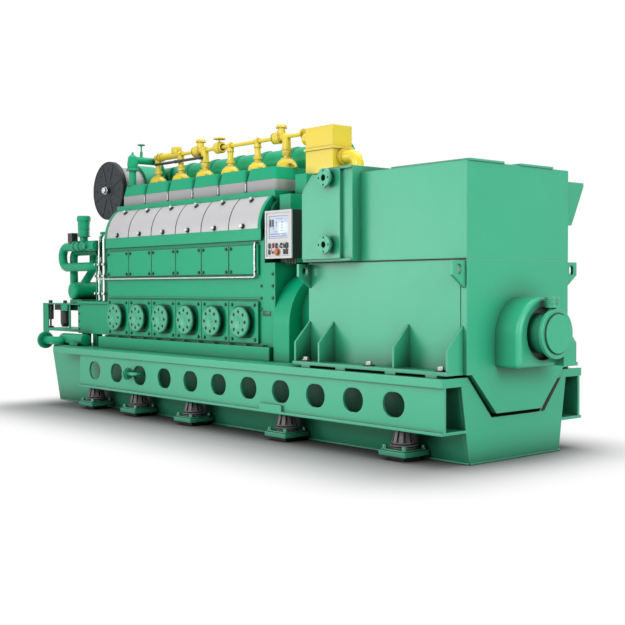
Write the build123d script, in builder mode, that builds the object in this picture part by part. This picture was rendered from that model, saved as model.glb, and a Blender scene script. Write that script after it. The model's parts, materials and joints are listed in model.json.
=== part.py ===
"""Gas engine generating set: six cylinder in-line engine and alternator on a resiliently mounted frame.

Millimetres. Origin at the centre of the frame's underside, +X towards the alternator,
-Y the control side, +Z up.
"""
from build123d import *
import os
from math import asin, cos, degrees, radians, sin

os.makedirs("parts", exist_ok=True)

# Cylinder row, whose pitch sets the length of the engine
pitch = 480
cylinders = 6
first_cylinder = -1972
joint_gap = 10
cover_width = pitch - joint_gap
row_left = first_cylinder - pitch / 2
row_right = row_left + pitch * cylinders
cylinder_x = [first_cylinder + pitch * i for i in range(cylinders)]

# Lengths along the set, each from its neighbour
block_margin = 25
cam_drive_length = 72
step_length = 160
rail_overhang = 132
rail_setback = 23
guard_length = 238
coupling_length = 388
alt_length = 1882
alt_overhang = 36
frame_lap = 40
deck_length = 440
girder_inset = 1062
block_left = row_left - block_margin
upper_right = row_right + cam_drive_length
block_right = upper_right + step_length
rail_left = block_left - rail_overhang
rail_right = block_right - rail_setback
guard_right = block_right + guard_length
alt_left = guard_right + coupling_length
alt_right = alt_left + alt_length
half_length = alt_right - alt_overhang
alt_frame_left = alt_left - frame_lap
deck_left = -half_length + deck_length
girder_left = -half_length + girder_inset
mount_inset = 197
mount_step = 930
mount_middle = 1987
mount_alternator = 207
mount_end = 590
mount_left = first_cylinder - mount_inset
mount_x = (mount_left, mount_left + mount_step, mount_left + mount_middle, alt_left - mount_alternator,
           alt_right - mount_end)

# Base frame
frame_half_width = 899
plate_lip = 23
trough_inset = 226
trough_flare = 96
trough_half_top = frame_half_width - trough_inset
trough_half_bottom = trough_half_top - trough_flare
trough_wall = 20
trough_end_plate = 30
frame_top = 694
top_plate = 70
web_outer = frame_half_width - plate_lip
web_thickness = 25
flange_bottom = 255
flange_thickness = 24
pad_left = 218
pad_right = 104
pad_height = 56
deck_half_width = 650
deck_overhang = 20
tray_shelf = 73
tray_flare = 290
tray_half_top = trough_half_top - tray_shelf
tray_half_bottom = tray_half_top - tray_flare
tray_bottom = 356
end_cover_depth = 110
end_cover_half = 540
end_cover_low = 65
end_cover_high = 590
end_cover_corner = 60
holes_per_side = 11
hole_length = 250
hole_height = 205
hole_centre = 457

# Mounts
mount_lap = 154
mount_y = frame_half_width - mount_lap
foot_side = 300
foot_plate = 40
foot_corner = 12
chock_height = 40
chock_side = 180
bell_radius = 100
bell_top_radius = 62
foot_bolt_spacing = 220
foot_bolt_radius = 13

# Heights of the engine, each from the one below
shaft_rise = 336
door_rise = 160
crank_cover_height = 409
oil_line_belt = 264
cam_cover_height = 291
step_rise = 113
band_gap = 43
band_height = 116
hood_height = 321
deck_thickness = 59
head_height = 117
rocker_height = 126
gas_rail_rise = 340
shaft_height = frame_top + shaft_rise
crank_cover_bottom = frame_top + door_rise
crank_cover_top = crank_cover_bottom + crank_cover_height
cam_cover_bottom = crank_cover_top + oil_line_belt
cam_cover_top = cam_cover_bottom + cam_cover_height
step_height = cam_cover_bottom + step_rise
band_bottom = cam_cover_top + band_gap
gallery_top = band_bottom + band_height
deck_bottom = gallery_top + hood_height
deck_top = deck_bottom + deck_thickness
head_top = deck_top + head_height
rocker_top = head_top + rocker_height
gas_rail_height = rocker_top + gas_rail_rise

# Engine casting
block_half = 540
sump_gap = 100
sump_taper = 220
sump_bottom = 400
deck_inset = 130
rail_width = 60
rail_height = 132
plate_lap = 10
sump_half_top = tray_half_top - sump_gap
sump_half_bottom = sump_half_top - sump_taper
deck_half = block_half - deck_inset
rail_half = block_half + rail_width
plate_inner = block_half - plate_lap

# Side covers
cover_thickness = 26
cover_rim = 50
cover_recess = 18
cover_corner = 90
cover_bevel = 6
face = block_half + cover_thickness
drum_radius = 152
drum_neck = 104
drum_proud = 82
drum_disc = 26
drum_chamfer = 8
dish_radius = 66
dish_depth = 12
hood_shell = 12
hood_run = 150
hood_cheek = 45
cheek_proud = 4
cheek_depth = 60
rib_width = 60
knob_radius = 17
knob_length = 38
knob_turns = (4, 43.5)

# Heads
head_setback = 190
head_depth = 500
head_near = block_half - head_setback
head_far = head_depth - head_near
rocker_taper = 36
head_fillet = 40

# Gas system
cone_radius = 107
cone_top_radius = 52
cone_height = 92
stem_radius = 34
gas_rail_radius = 36
rail_start = 152
gas_rail_left = first_cylinder + rail_start
gas_rail_right = upper_right - joint_gap
valve_body_radius = 62
valve_body_length = 84
valve_flange = 18
valve_gland_rise = 66
gas_wheel_rise = 34

# Alternator
alt_setback = 249
belly_inset = 60
belly_taper = 302
belly_clearance = 33
foot_inset = 51
packing = 21
alt_foot_thickness = 30
casing_height = 933
top_box_length = 1195
top_box_height = 761
top_box_lip = 3
end_shield = 60
shield_groove = 8
cooler_setback = 37
cooler_overhang = 100
cooler_box_height = 818
alt_half = frame_half_width - alt_setback
alt_belly_half = alt_half - belly_inset
alt_belly_bottom_half = alt_belly_half - belly_taper
alt_belly_bottom = tray_bottom + belly_clearance
alt_foot_half = frame_half_width - foot_inset
alt_foot_bottom = frame_top + packing
alt_seam = frame_top + casing_height
alt_box_half = alt_half + top_box_lip
alt_box_left = alt_right - top_box_length
alt_box_top = alt_seam + top_box_height
cooler_left = alt_left + cooler_setback
cooler_half = alt_half + cooler_overhang
cooler_top = alt_seam + cooler_box_height

# Free end
housing_length = 453
housing_half = 380
housing_rise = 541
housing_height = 845
pump_length = 840
pump_overhang = 100
pump_rise = 146
pump_plate = 30
pipe_reach = 120
return_reach = 10
water_radius = 54
cooler_reach = 176
cooler_radius = 112
filter_length = 933
housing_left = block_left - housing_length
housing_bottom = frame_top + housing_rise
housing_top = housing_bottom + housing_height
pump_left = block_left - pump_length
pump_half = housing_half + pump_overhang
pump_bottom = frame_top + pump_rise
pipe_plane = -housing_half - pipe_reach
return_plane = -housing_half - return_reach
cooler_x = pump_left - cooler_reach
frame_end = pump_left - filter_length

# Handwheels
wheel_rim_tube = 9
spindle_radius = 9
running_clearance = 0.1
gland_depth = 20
seat_gap = 0.3


def keep(builder, name):
    builder.part.label = name
    export_step(builder.part, f"parts/{name}.step")


def prism(points, plane, amount, mode=Mode.ADD):
    """Extrude a closed straight-sided outline."""
    with BuildSketch(plane) as outline:
        with BuildLine():
            Polyline(*points, close=True)
        make_face()
    extrude(outline.sketch, amount=amount, mode=mode)


def block(x, y, z, mode=Mode.ADD):
    """Rectangular bar between pairs of x, y and z."""
    with BuildSketch(Plane.XY.offset(z[0])) as outline:
        with Locations(((x[0] + x[1]) / 2, (y[0] + y[1]) / 2)):
            Rectangle(x[1] - x[0], y[1] - y[0])
    extrude(outline.sketch, amount=z[1] - z[0], mode=mode)


def drum(centre, direction, radius, length, mode=Mode.ADD):
    """Round bar from a centre along a direction."""
    with BuildSketch(Plane(origin=centre, z_dir=direction)) as outline:
        Circle(radius)
    extrude(outline.sketch, amount=length, mode=mode)


def turned(points, centre, direction, mode=Mode.ADD):
    """Revolve (radius, height) points about a direction through a centre."""
    base = Plane(origin=centre, z_dir=direction)
    side = Plane(origin=centre, x_dir=base.x_dir, z_dir=base.y_dir * -1)
    with BuildSketch(side) as outline:
        with BuildLine():
            Polyline(*points, close=True)
        make_face()
    revolve(outline.sketch, axis=Axis(centre, direction), mode=mode)


def pipe(points, bend, radius, mode=Mode.ADD):
    """Round bar along straight runs joined by bends."""
    with BuildLine() as route:
        if len(points) > 2:
            FilletPolyline(*points, radius=bend)
        else:
            Line(*points)
    with BuildSketch(Plane(origin=route.line @ 0, z_dir=route.line % 0)) as section:
        Circle(radius)
    sweep(section.sketch, path=route.line, mode=mode)


def mirrored(side, y):
    return (side * y[0], side * y[1]) if side > 0 else (side * y[1], side * y[0])


trough_slope = (trough_half_top - trough_half_bottom) / (frame_top - top_plate)
tray_slope = (tray_half_top - tray_half_bottom) / (frame_top - tray_bottom)


def trough_half(z):
    return trough_half_bottom + trough_slope * z


def tray_half(z):
    return tray_half_bottom + tray_slope * (z - tray_bottom)


plate_bottom = frame_top - top_plate
tray_mouth = tray_half(plate_bottom)

# Oil trough: an open shell with a V tray along its top
outer = [
    (-trough_half_bottom, 0), (trough_half_bottom, 0), (trough_half_top, plate_bottom),
    (tray_mouth, plate_bottom), (tray_half_bottom, tray_bottom),
    (-tray_half_bottom, tray_bottom), (-tray_mouth, plate_bottom), (-trough_half_top, plate_bottom),
]
inner_low = trough_half(trough_wall) - trough_wall
inner_high = trough_half_top - trough_wall
wall_lean = 2
inner = [
    (-inner_low, trough_wall), (inner_low, trough_wall), (inner_high - wall_lean, plate_bottom - trough_wall),
    (tray_mouth + trough_wall, plate_bottom - trough_wall),
    (tray_half_bottom + trough_wall / 2, tray_bottom - trough_wall),
    (-tray_half_bottom - trough_wall / 2, tray_bottom - trough_wall),
    (-tray_mouth - trough_wall, plate_bottom - trough_wall),
    (-inner_high + wall_lean, plate_bottom - trough_wall),
]
shell_length = 2 * (half_length - trough_end_plate)
across_left = Plane.YZ.offset(-half_length + trough_end_plate)
with BuildPart() as base_trough:
    prism(outer, across_left, shell_length)
    prism(inner, across_left, shell_length, Mode.SUBTRACT)
keep(base_trough, "base_trough")

with BuildPart() as trough_ends:
    prism(outer, Plane.YZ.offset(-half_length), trough_end_plate)
    prism(outer, Plane.YZ.offset(half_length - trough_end_plate), trough_end_plate)
    with BuildSketch(Plane.YZ.offset(-half_length - end_cover_depth)) as cover:
        with Locations((0, (end_cover_low + end_cover_high) / 2)):
            RectangleRounded(2 * end_cover_half, end_cover_high - end_cover_low, end_cover_corner)
    extrude(amount=end_cover_depth)
    with BuildSketch(Plane.YZ.offset(-half_length)) as notch:
        with BuildLine():
            Polyline((-tray_mouth, plate_bottom), (tray_mouth, plate_bottom),
                     (tray_half_bottom, tray_bottom), (-tray_half_bottom, tray_bottom), close=True)
        make_face()
    extrude(amount=-end_cover_depth, mode=Mode.SUBTRACT)
keep(trough_ends, "trough_ends")


def girder(side):
    """Side girder: top plate, web with lightening holes, bottom flange and jacking pad."""
    s = side
    flange_top = flange_bottom + flange_thickness
    with BuildPart() as beam:
        prism([(s * plate_inner, plate_bottom), (s * frame_half_width, plate_bottom),
               (s * frame_half_width, frame_top), (s * plate_inner, frame_top)],
              Plane.YZ.offset(deck_left), alt_frame_left - deck_left)
        prism([(s * tray_mouth, plate_bottom), (s * frame_half_width, plate_bottom),
               (s * frame_half_width, frame_top), (s * tray_half_top, frame_top)],
              Plane.YZ.offset(alt_frame_left), half_length - alt_frame_left)
        block((girder_left, half_length), mirrored(s, (web_outer - web_thickness, web_outer)),
              (flange_bottom, plate_bottom))
        prism([(s * trough_half(flange_bottom), flange_bottom), (s * frame_half_width, flange_bottom),
               (s * frame_half_width, flange_top), (s * trough_half(flange_top), flange_top)],
              Plane.YZ.offset(girder_left), half_length - girder_left)
        block((mount_x[3] - pad_left, mount_x[3] + pad_right), mirrored(s, (web_outer, frame_half_width)),
              (flange_top, flange_top + pad_height))
        with BuildSketch(Plane.XZ.offset(-s * web_outer)) as holes:
            with Locations(*[(first_cylinder + pitch * i, hole_centre) for i in range(holes_per_side)]):
                RectangleRounded(hole_length, hole_height, hole_height / 2 - 1)
        extrude(amount=s * web_thickness * 2, both=True, mode=Mode.SUBTRACT)
    return beam


keep(girder(-1), "girder_near")
keep(girder(1), "girder_far")

with BuildPart() as free_end_deck:
    block((-half_length - deck_overhang, deck_left), (-deck_half_width, deck_half_width),
          (plate_bottom, frame_top))
    block((deck_left, block_left - joint_gap), (-plate_inner, plate_inner), (plate_bottom, frame_top))
keep(free_end_deck, "free_end_deck")

# Drain from the trough through the third hole of the near girder
drain_radius = 19
drain_x = first_cylinder + 2 * pitch
drain_height = hole_centre + 17
drain_plane = -web_outer - 70
drain_reach = 120
drain_flange = 66
drain_flange_thickness = 18
with BuildPart() as drain_pipe:
    pipe([(drain_x, -trough_half(drain_height + drain_radius), drain_height),
          (drain_x, drain_plane, drain_height), (drain_x - drain_reach, drain_plane, drain_height)], 40, drain_radius)
    drum((drain_x - drain_reach, drain_plane, drain_height), (-1, 0, 0), drain_flange, drain_flange_thickness)
keep(drain_pipe, "drain_pipe")

# Resilient mounts under the bottom flanges
mount_spots = [(x, s * mount_y) for s in (-1, 1) for x in mount_x]
foot_top = chock_height + foot_plate
bell_height = flange_bottom - foot_top

with BuildPart() as mount_chocks:
    for x, y in mount_spots:
        block((x - chock_side / 2, x + chock_side / 2), (y - chock_side / 2, y + chock_side / 2),
              (0, chock_height))
keep(mount_chocks, "mount_chocks")

with BuildPart() as mount_feet:
    with BuildSketch(Plane.XY.offset(chock_height)) as plates:
        with Locations(*mount_spots):
            RectangleRounded(foot_side, foot_side, foot_corner)
        for x, y in mount_spots:
            with Locations((x, y)):
                with GridLocations(foot_bolt_spacing, foot_bolt_spacing, 2, 2):
                    Circle(foot_bolt_radius, mode=Mode.SUBTRACT)
    extrude(amount=foot_plate)
keep(mount_feet, "mount_feet")

bell_cap = bell_top_radius + 18
bell = [(0, 0), (bell_radius, 0), (bell_radius, 26), (bell_radius - 14, 44), (bell_radius - 10, 60),
        (bell_top_radius + 14, 104), (bell_top_radius, 128), (bell_top_radius, bell_height - 18),
        (bell_cap, bell_height - 12), (bell_cap, bell_height), (0, bell_height)]
with BuildPart() as resilient_mounts:
    for x, y in mount_spots:
        turned(bell, (x, y, foot_top), (0, 0, 1))
keep(resilient_mounts, "resilient_mounts")

# Curved hood over the injection gear, used by the casting and the covers
hood_radius = (hood_run ** 2 + hood_height ** 2) / (2 * hood_run)
hood_sweep = degrees(asin(hood_height / hood_radius))
hood_centre = (-face + hood_radius, gallery_top)


def hood_shape(plane, outer_radius, inner_radius):
    """Ring segment from the band up and back to the deck, on a plane across X."""
    with BuildSketch(plane) as ring:
        with BuildLine():
            a = CenterArc(hood_centre, outer_radius, 180, -hood_sweep)
            b = CenterArc(hood_centre, inner_radius, 180, -hood_sweep)
            Line(a @ 0, b @ 0)
            Line(a @ 1, b @ 1)
        make_face()
    return ring.sketch


# Engine block with oil sump
wall_foot = frame_top + 20
hood_bed = 20
below = [(-sump_half_bottom, sump_bottom), (sump_half_bottom, sump_bottom), (sump_half_top, frame_top),
         (block_half, wall_foot)]
profile = below + [
    (block_half, gallery_top), (deck_half, deck_bottom), (deck_half, deck_top),
    (-deck_half, deck_top), (-deck_half, deck_bottom), (-block_half + hood_run - hood_bed, deck_bottom - hood_bed),
    (-block_half + 2 * hood_bed, gallery_top), (-block_half, band_bottom), (-block_half, wall_foot),
    (-sump_half_top, frame_top),
]
step_profile = below + [(block_half, step_height), (-block_half, step_height), (-block_half, wall_foot),
                        (-sump_half_top, frame_top)]
with BuildPart() as engine_block:
    prism(profile, Plane.YZ.offset(block_left), upper_right - block_left)
    prism(step_profile, Plane.YZ.offset(upper_right), block_right - upper_right)
    recess = hood_shape(Plane.YZ.offset(block_left - 1), hood_radius + hood_run, hood_radius - cheek_depth - 1)
    extrude(recess, amount=upper_right - block_left + 2, mode=Mode.SUBTRACT)
keep(engine_block, "engine_block")

with BuildPart() as engine_rails:
    for s in (-1, 1):
        block((rail_left, rail_right), mirrored(s, (block_half, rail_half)), (frame_top, frame_top + rail_height))
keep(engine_rails, "engine_rails")

# Crankcase doors with relief valves, both sides
door_centre = (crank_cover_bottom + crank_cover_top) / 2
door_spots = [(x, door_centre) for x in cylinder_x]
with BuildPart() as crankcase_doors:
    for s in (-1, 1):
        with BuildSketch(Plane.XZ.offset(-s * block_half)) as plates:
            with Locations(*door_spots):
                Rectangle(cover_width, crank_cover_height)
        extrude(plates.sketch, amount=-s * cover_thickness)
        with BuildSketch(Plane.XZ.offset(-s * face)) as pockets:
            with Locations(*door_spots):
                RectangleRounded(cover_width - 2 * cover_rim, crank_cover_height - 2 * cover_rim, cover_corner)
        extrude(pockets.sketch, amount=s * cover_recess, mode=Mode.SUBTRACT)
keep(crankcase_doors, "crankcase_doors")

relief = [(0, 0), (drum_neck, 0), (drum_neck, drum_proud - drum_disc), (drum_radius, drum_proud - drum_disc),
          (drum_radius, drum_proud - drum_chamfer), (drum_radius - drum_chamfer, drum_proud),
          (dish_radius, drum_proud), (0, drum_proud - dish_depth)]
with BuildPart() as relief_valves:
    for s in (-1, 1):
        for x in cylinder_x:
            turned(relief, (x, s * (face - cover_recess), door_centre), (0, s, 0))
keep(relief_valves, "relief_valves")

cam_centre = (cam_cover_bottom + cam_cover_top) / 2
with BuildPart() as camshaft_covers:
    for x in cylinder_x:
        with BuildSketch(Plane.XZ.offset(block_half)) as plate:
            with Locations((x, cam_centre)):
                Rectangle(cover_width, cam_cover_height)
        extrude(plate.sketch, amount=cover_thickness - cover_bevel)
        with BuildSketch(Plane.XZ.offset(face - cover_bevel)) as crown:
            with Locations((x, cam_centre)):
                Rectangle(cover_width, cam_cover_height)
        extrude(crown.sketch, amount=cover_bevel, taper=45)
keep(camshaft_covers, "camshaft_covers")

with BuildPart() as hood_frame:
    block((block_left, row_right + hood_cheek), (-face, -block_half), (band_bottom, gallery_top))
    for x in (row_left - hood_cheek, row_right):
        cheek = hood_shape(Plane.YZ.offset(x), hood_radius + cheek_proud, hood_radius - cheek_depth)
        extrude(cheek, amount=hood_cheek)
    for i in range(1, cylinders):
        rib = hood_shape(Plane.YZ.offset(row_left + pitch * i - rib_width / 2),
                         hood_radius - hood_shell - seat_gap, hood_radius - cheek_depth)
        extrude(rib, amount=rib_width)
keep(hood_frame, "hood_frame")

with BuildPart() as hood_covers:
    for x in cylinder_x:
        shell = hood_shape(Plane.YZ.offset(x - cover_width / 2), hood_radius, hood_radius - hood_shell)
        extrude(shell, amount=cover_width)
keep(hood_covers, "hood_covers")

knob = [(0, 0), (knob_radius * 0.6, 0), (knob_radius * 0.6, knob_length * 0.3), (knob_radius, knob_length * 0.3),
        (knob_radius, knob_length * 0.85), (knob_radius * 0.8, knob_length), (0, knob_length)]
with BuildPart() as hood_knobs:
    for x in cylinder_x:
        for turn in knob_turns:
            out = (0, -cos(radians(turn)), sin(radians(turn)))
            seat = (x, hood_centre[0] + hood_radius * out[1], hood_centre[1] + hood_radius * out[2])
            turned(knob, seat, out)
keep(hood_knobs, "hood_knobs")

# Cylinder heads and rocker hoods
head_mid = (head_far - head_near) / 2
with BuildPart() as cylinder_heads:
    for x in cylinder_x:
        with BuildSketch(Plane.XY.offset(deck_top)) as foot:
            with Locations((x, head_mid)):
                RectangleRounded(cover_width, head_depth, head_fillet)
        extrude(foot.sketch, amount=head_top - deck_top)
keep(cylinder_heads, "cylinder_heads")

with BuildPart() as rocker_hoods:
    for x in cylinder_x:
        with BuildSketch(Plane.XY.offset(head_top)) as low:
            with Locations((x, head_mid)):
                RectangleRounded(cover_width, head_depth, head_fillet)
        with BuildSketch(Plane.XY.offset(rocker_top)) as high:
            with Locations((x, head_mid)):
                RectangleRounded(cover_width - 2 * rocker_taper, head_depth - rocker_taper, head_fillet)
        loft([low.sketch.face(), high.sketch.face()])
keep(rocker_hoods, "rocker_hoods")

# Gas inlet housings, rail and valves
stem_top = gas_rail_height - gas_rail_radius - 30
stem_height = stem_top - rocker_top
cone = [(0, 0), (cone_radius, 0), (cone_radius, 18), (cone_radius - 14, 40), (cone_top_radius, cone_height),
        (stem_radius, cone_height), (stem_radius, stem_height), (0, stem_height)]
with BuildPart() as gas_inlets:
    for x in cylinder_x:
        turned(cone, (x, 0, rocker_top), (0, 0, 1))
keep(gas_inlets, "gas_inlets")

socket_wall = 10
socket_height = 50
with BuildPart() as gas_rail:
    drum((gas_rail_left, 0, gas_rail_height), (1, 0, 0), gas_rail_radius, gas_rail_right - gas_rail_left)
    for x in cylinder_x:
        drum((x, 0, stem_top), (0, 0, 1), stem_radius + socket_wall, socket_height)
keep(gas_rail, "gas_rail")

gas_valve_x = first_cylinder + 1236
rail_valve_x = (gas_valve_x, first_cylinder + 1.75 * pitch, first_cylinder + 4.75 * pitch)
gland_radius = 26
gas_gland_top = gas_rail_height + valve_gland_rise
valve_half = valve_body_length / 2 + valve_flange
with BuildPart() as gas_valves:
    for x in rail_valve_x:
        drum((x - valve_body_length / 2, 0, gas_rail_height), (1, 0, 0), valve_body_radius, valve_body_length)
        drum((x - valve_half, 0, gas_rail_height), (1, 0, 0), valve_body_radius - 10, 2 * valve_half)
        drum((x, 0, gas_rail_height), (0, 0, 1), gland_radius, valve_gland_rise)
    drum((gas_valve_x, 0, gas_gland_top), (0, 0, -1), spindle_radius + running_clearance, gland_depth,
         Mode.SUBTRACT)
    for x in rail_valve_x:
        drum((x - valve_half - 1, 0, gas_rail_height), (1, 0, 0), gas_rail_radius, 2 * valve_half + 2, Mode.SUBTRACT)
keep(gas_valves, "gas_valves")


def handwheel(centre, seat, rim_radius, rim_tube, hub_radius):
    """Wheel with three spokes on a spindle that runs down into its gland."""
    x, y, z = centre
    hub_half = hub_radius * 0.7
    with BuildPart() as wheel:
        with BuildSketch(Plane.XZ.offset(-y)) as ring:
            with Locations((x + rim_radius, z)):
                Circle(rim_tube)
        revolve(ring.sketch, axis=Axis((x, y, z), (0, 0, 1)))
        for k in range(3):
            turn = radians(90 + 120 * k)
            drum((x, y, z), (cos(turn), sin(turn), 0), rim_tube * 0.7, rim_radius)
        drum((x, y, z - hub_half), (0, 0, 1), hub_radius, 2 * hub_half)
        drum((x, y, seat - gland_depth + seat_gap), (0, 0, 1), spindle_radius,
             z - seat + gland_depth - seat_gap)
    return wheel


gas_wheel_height = gas_gland_top + gas_wheel_rise
gas_handwheel = handwheel((gas_valve_x, 0, gas_wheel_height), gas_gland_top, 62, wheel_rim_tube, 20)
keep(gas_handwheel, "gas_handwheel")

pilot_plane = -96
pilot_height = gas_rail_height - 90
pilot_radius = 16
with BuildPart() as pilot_pipe:
    drum((cylinder_x[0] + 60, pilot_plane, pilot_height), (1, 0, 0), pilot_radius, pitch * 5 - 60)
    for x in cylinder_x[1:]:
        drum((x, -stem_radius - seat_gap, pilot_height), (0, -1, 0), 9, -pilot_plane - pilot_radius - stem_radius)
keep(pilot_pipe, "pilot_pipe")

# Gas unit box at the alternator end of the rail
gas_box_left = block_right - 27
gas_box_right = gas_box_left + 397
gas_box_half = 124
gas_box_bottom = rocker_top - 93
gas_box_top = gas_rail_height + 19
gas_box_joint = gas_rail_height - 195
joint_flange = 14
with BuildPart() as gas_unit:
    block((gas_box_left, gas_box_right), (-gas_box_half, gas_box_half), (gas_box_bottom, gas_box_top))
    block((gas_box_left - joint_flange, gas_box_right + joint_flange),
          (-gas_box_half - joint_flange, gas_box_half + joint_flange),
          (gas_box_joint - 12, gas_box_joint + 12))
    drum((gas_rail_right, 0, gas_rail_height - 60), (1, 0, 0), gas_rail_radius + 24,
         gas_box_left - gas_rail_right)
keep(gas_unit, "gas_unit")

elbow_height = gas_rail_height - 285
elbow_radius = 60
elbow_flange = 22
elbow_reach = 220
elbow_drop = elbow_height - cooler_top
with BuildPart() as gas_elbow:
    drum((gas_box_right, 0, elbow_height), (1, 0, 0), elbow_radius, 2 * elbow_flange)
    for x in (gas_box_right, gas_box_right + elbow_flange + 2):
        drum((x, 0, elbow_height), (1, 0, 0), elbow_radius + 16, elbow_flange)
    pipe([(gas_box_right + 10, 0, elbow_height), (gas_box_right + elbow_reach, 0, elbow_height),
          (gas_box_right + elbow_reach, 0, elbow_height - elbow_drop)], 100, elbow_radius)
keep(gas_elbow, "gas_elbow")

# Exhaust and charge air behind the heads
manifold_plane = 350
manifold_radius = 125
manifold_height = rocker_top + 152
manifold_left = first_cylinder - 78
manifold_right = row_right + 282
branch_radius = 52
with BuildPart() as exhaust_manifold:
    drum((manifold_left, manifold_plane, manifold_height), (1, 0, 0), manifold_radius, manifold_right - manifold_left)
    for x in cylinder_x:
        pipe([(x, head_far, deck_top + branch_radius + 4), (x, manifold_plane, deck_top + branch_radius + 4),
              (x, manifold_plane, manifold_height)], 70, branch_radius)
keep(exhaust_manifold, "exhaust_manifold")

receiver_radius = 190
receiver_height = cam_cover_bottom + 33
receiver_end = 200
saddle_half = 30
with BuildPart() as charge_air_receiver:
    drum((cylinder_x[0] - receiver_end, block_half + receiver_radius, receiver_height), (1, 0, 0), receiver_radius,
         cylinder_x[-1] - cylinder_x[0] + 2 * receiver_end)
    for x in (cylinder_x[0], cylinder_x[2] + pitch / 2, cylinder_x[-1]):
        block((x - saddle_half, x + saddle_half), (block_half, block_half + receiver_radius),
              (receiver_height - receiver_radius - saddle_half, receiver_height))
keep(charge_air_receiver, "charge_air_receiver")

# Drive end: flywheel guard and coupling housing
coupling_radius = 400
coupling_height = shaft_height + 90
with BuildPart() as flywheel_guard:
    with BuildSketch(Plane.YZ.offset(block_right)) as arch:
        with BuildLine():
            Polyline((-face, shaft_height), (-face, frame_top), (face, frame_top), (face, shaft_height))
            ThreePointArc((face, shaft_height), (0, shaft_height + face), (-face, shaft_height))
        make_face()
    extrude(arch.sketch, amount=guard_right - block_right)
    drum((guard_right, 0, coupling_height), (1, 0, 0), coupling_radius, alt_left - guard_right)
keep(flywheel_guard, "flywheel_guard")

# Control panel on its pillar
panel_lap = 111
panel_width = 399
panel_rise = 37
panel_height = 458
panel_proud = 20
panel_depth = 140
pillar_drop = 57
pillar_left = block_right - 72
pillar_width = 164
pillar_depth = 198
pillar_back = 120
panel_left = block_right - panel_lap
panel_low = step_height + panel_rise
panel_high = panel_low + panel_height
panel_face = -block_half - panel_proud
panel_back = panel_face + panel_depth
pillar_low_top = deck_top - pillar_drop
pillar_step = panel_back + pillar_depth
pillar_span = (pillar_left, pillar_left + pillar_width)
with BuildPart() as panel_pillar:
    block(pillar_span, (panel_back, pillar_step), (step_height, pillar_low_top))
    block(pillar_span, (pillar_step, pillar_back), (step_height, gas_box_bottom))
keep(panel_pillar, "panel_pillar")

with BuildPart() as control_panel:
    block((panel_left, panel_left + panel_width), (panel_face, panel_back), (panel_low, panel_high))
keep(control_panel, "control_panel")

front_depth = 14
front_rim = 22
rim_depth = 6
screen_size = (290, 215)
screen_top = 52
with BuildPart() as panel_front:
    with BuildSketch(Plane.XZ.offset(-panel_face)) as plate:
        with Locations((panel_left + panel_width / 2, (panel_low + panel_high) / 2)):
            Rectangle(panel_width, panel_high - panel_low)
    extrude(plate.sketch, amount=front_depth)
    with BuildSketch(Plane.XZ.offset(-panel_face + front_depth)) as field:
        with Locations((panel_left + panel_width / 2, (panel_low + panel_high) / 2)):
            Rectangle(panel_width - 2 * front_rim, panel_high - panel_low - 2 * front_rim)
    extrude(field.sketch, amount=-rim_depth, mode=Mode.SUBTRACT)
    with BuildSketch(Plane.XZ.offset(-panel_face + front_depth)) as window:
        with Locations((panel_left + panel_width / 2, panel_high - screen_top - screen_size[1] / 2)):
            RectangleRounded(screen_size[0], screen_size[1], 8)
    extrude(window.sketch, amount=-rim_depth * 2, mode=Mode.SUBTRACT)
keep(panel_front, "panel_front")

# Free end: pump housing, machinery housing and turbocharger
with BuildPart() as free_end_housing:
    block((housing_left, block_left), (-housing_half, housing_half), (housing_bottom, housing_top))
keep(free_end_housing, "free_end_housing")

plate_edge = 20
foot_pad = 90
foot_depth = 80
with BuildPart() as pump_housing:
    block((pump_left, block_left), (-pump_half, pump_half), (pump_bottom, housing_bottom - pump_plate))
    block((pump_left + plate_edge, block_left), (-pump_half - plate_edge, pump_half + plate_edge),
          (housing_bottom - pump_plate, housing_bottom))
    for x in (pump_left + 60, pump_left + 330, block_left - 160):
        for s in (-1, 1):
            block((x, x + foot_pad), mirrored(s, (housing_half, housing_half + foot_depth)), (frame_top, pump_bottom))
keep(pump_housing, "pump_housing")

silencer_reach = 313
silencer_rise = 492
silencer_setback = 190
silencer_x = block_left - silencer_reach
silencer_z = housing_top + silencer_rise
silencer_front = -block_half + silencer_setback
silencer_radius = 350
disc_thickness = 56
drum_length = 300
turbo_radius = 330
turbo_length = 240
turbo_front = silencer_front + disc_thickness + drum_length
saddle = silencer_z - turbo_radius - seat_gap
with BuildPart() as silencer_face:
    drum((silencer_x, silencer_front, silencer_z), (0, 1, 0), silencer_radius, disc_thickness)
    drum((silencer_x, silencer_front, silencer_z), (0, -1, 0), 24, 30)
keep(silencer_face, "silencer_face")

with BuildPart() as silencer_body:
    drum((silencer_x, silencer_front + disc_thickness, silencer_z), (0, 1, 0), silencer_radius - 60, drum_length)
keep(silencer_body, "silencer_body")

with BuildPart() as turbo_casing:
    drum((silencer_x, turbo_front, silencer_z), (0, 1, 0), turbo_radius, turbo_length)
    drum((silencer_x, manifold_plane - 50, manifold_height), (1, 0, 0), manifold_radius - 15,
         manifold_left - silencer_x)
keep(turbo_casing, "turbo_casing")

bracket_back = 200
bracket_depth = 300
with BuildPart() as turbo_bracket:
    prism([(housing_left, housing_top), (block_left, housing_top), (block_left, housing_top + 100),
           (silencer_x + 130, saddle), (silencer_x - 90, saddle)],
          Plane.XZ.offset(-bracket_back), bracket_depth)
keep(turbo_bracket, "turbo_bracket")

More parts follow.
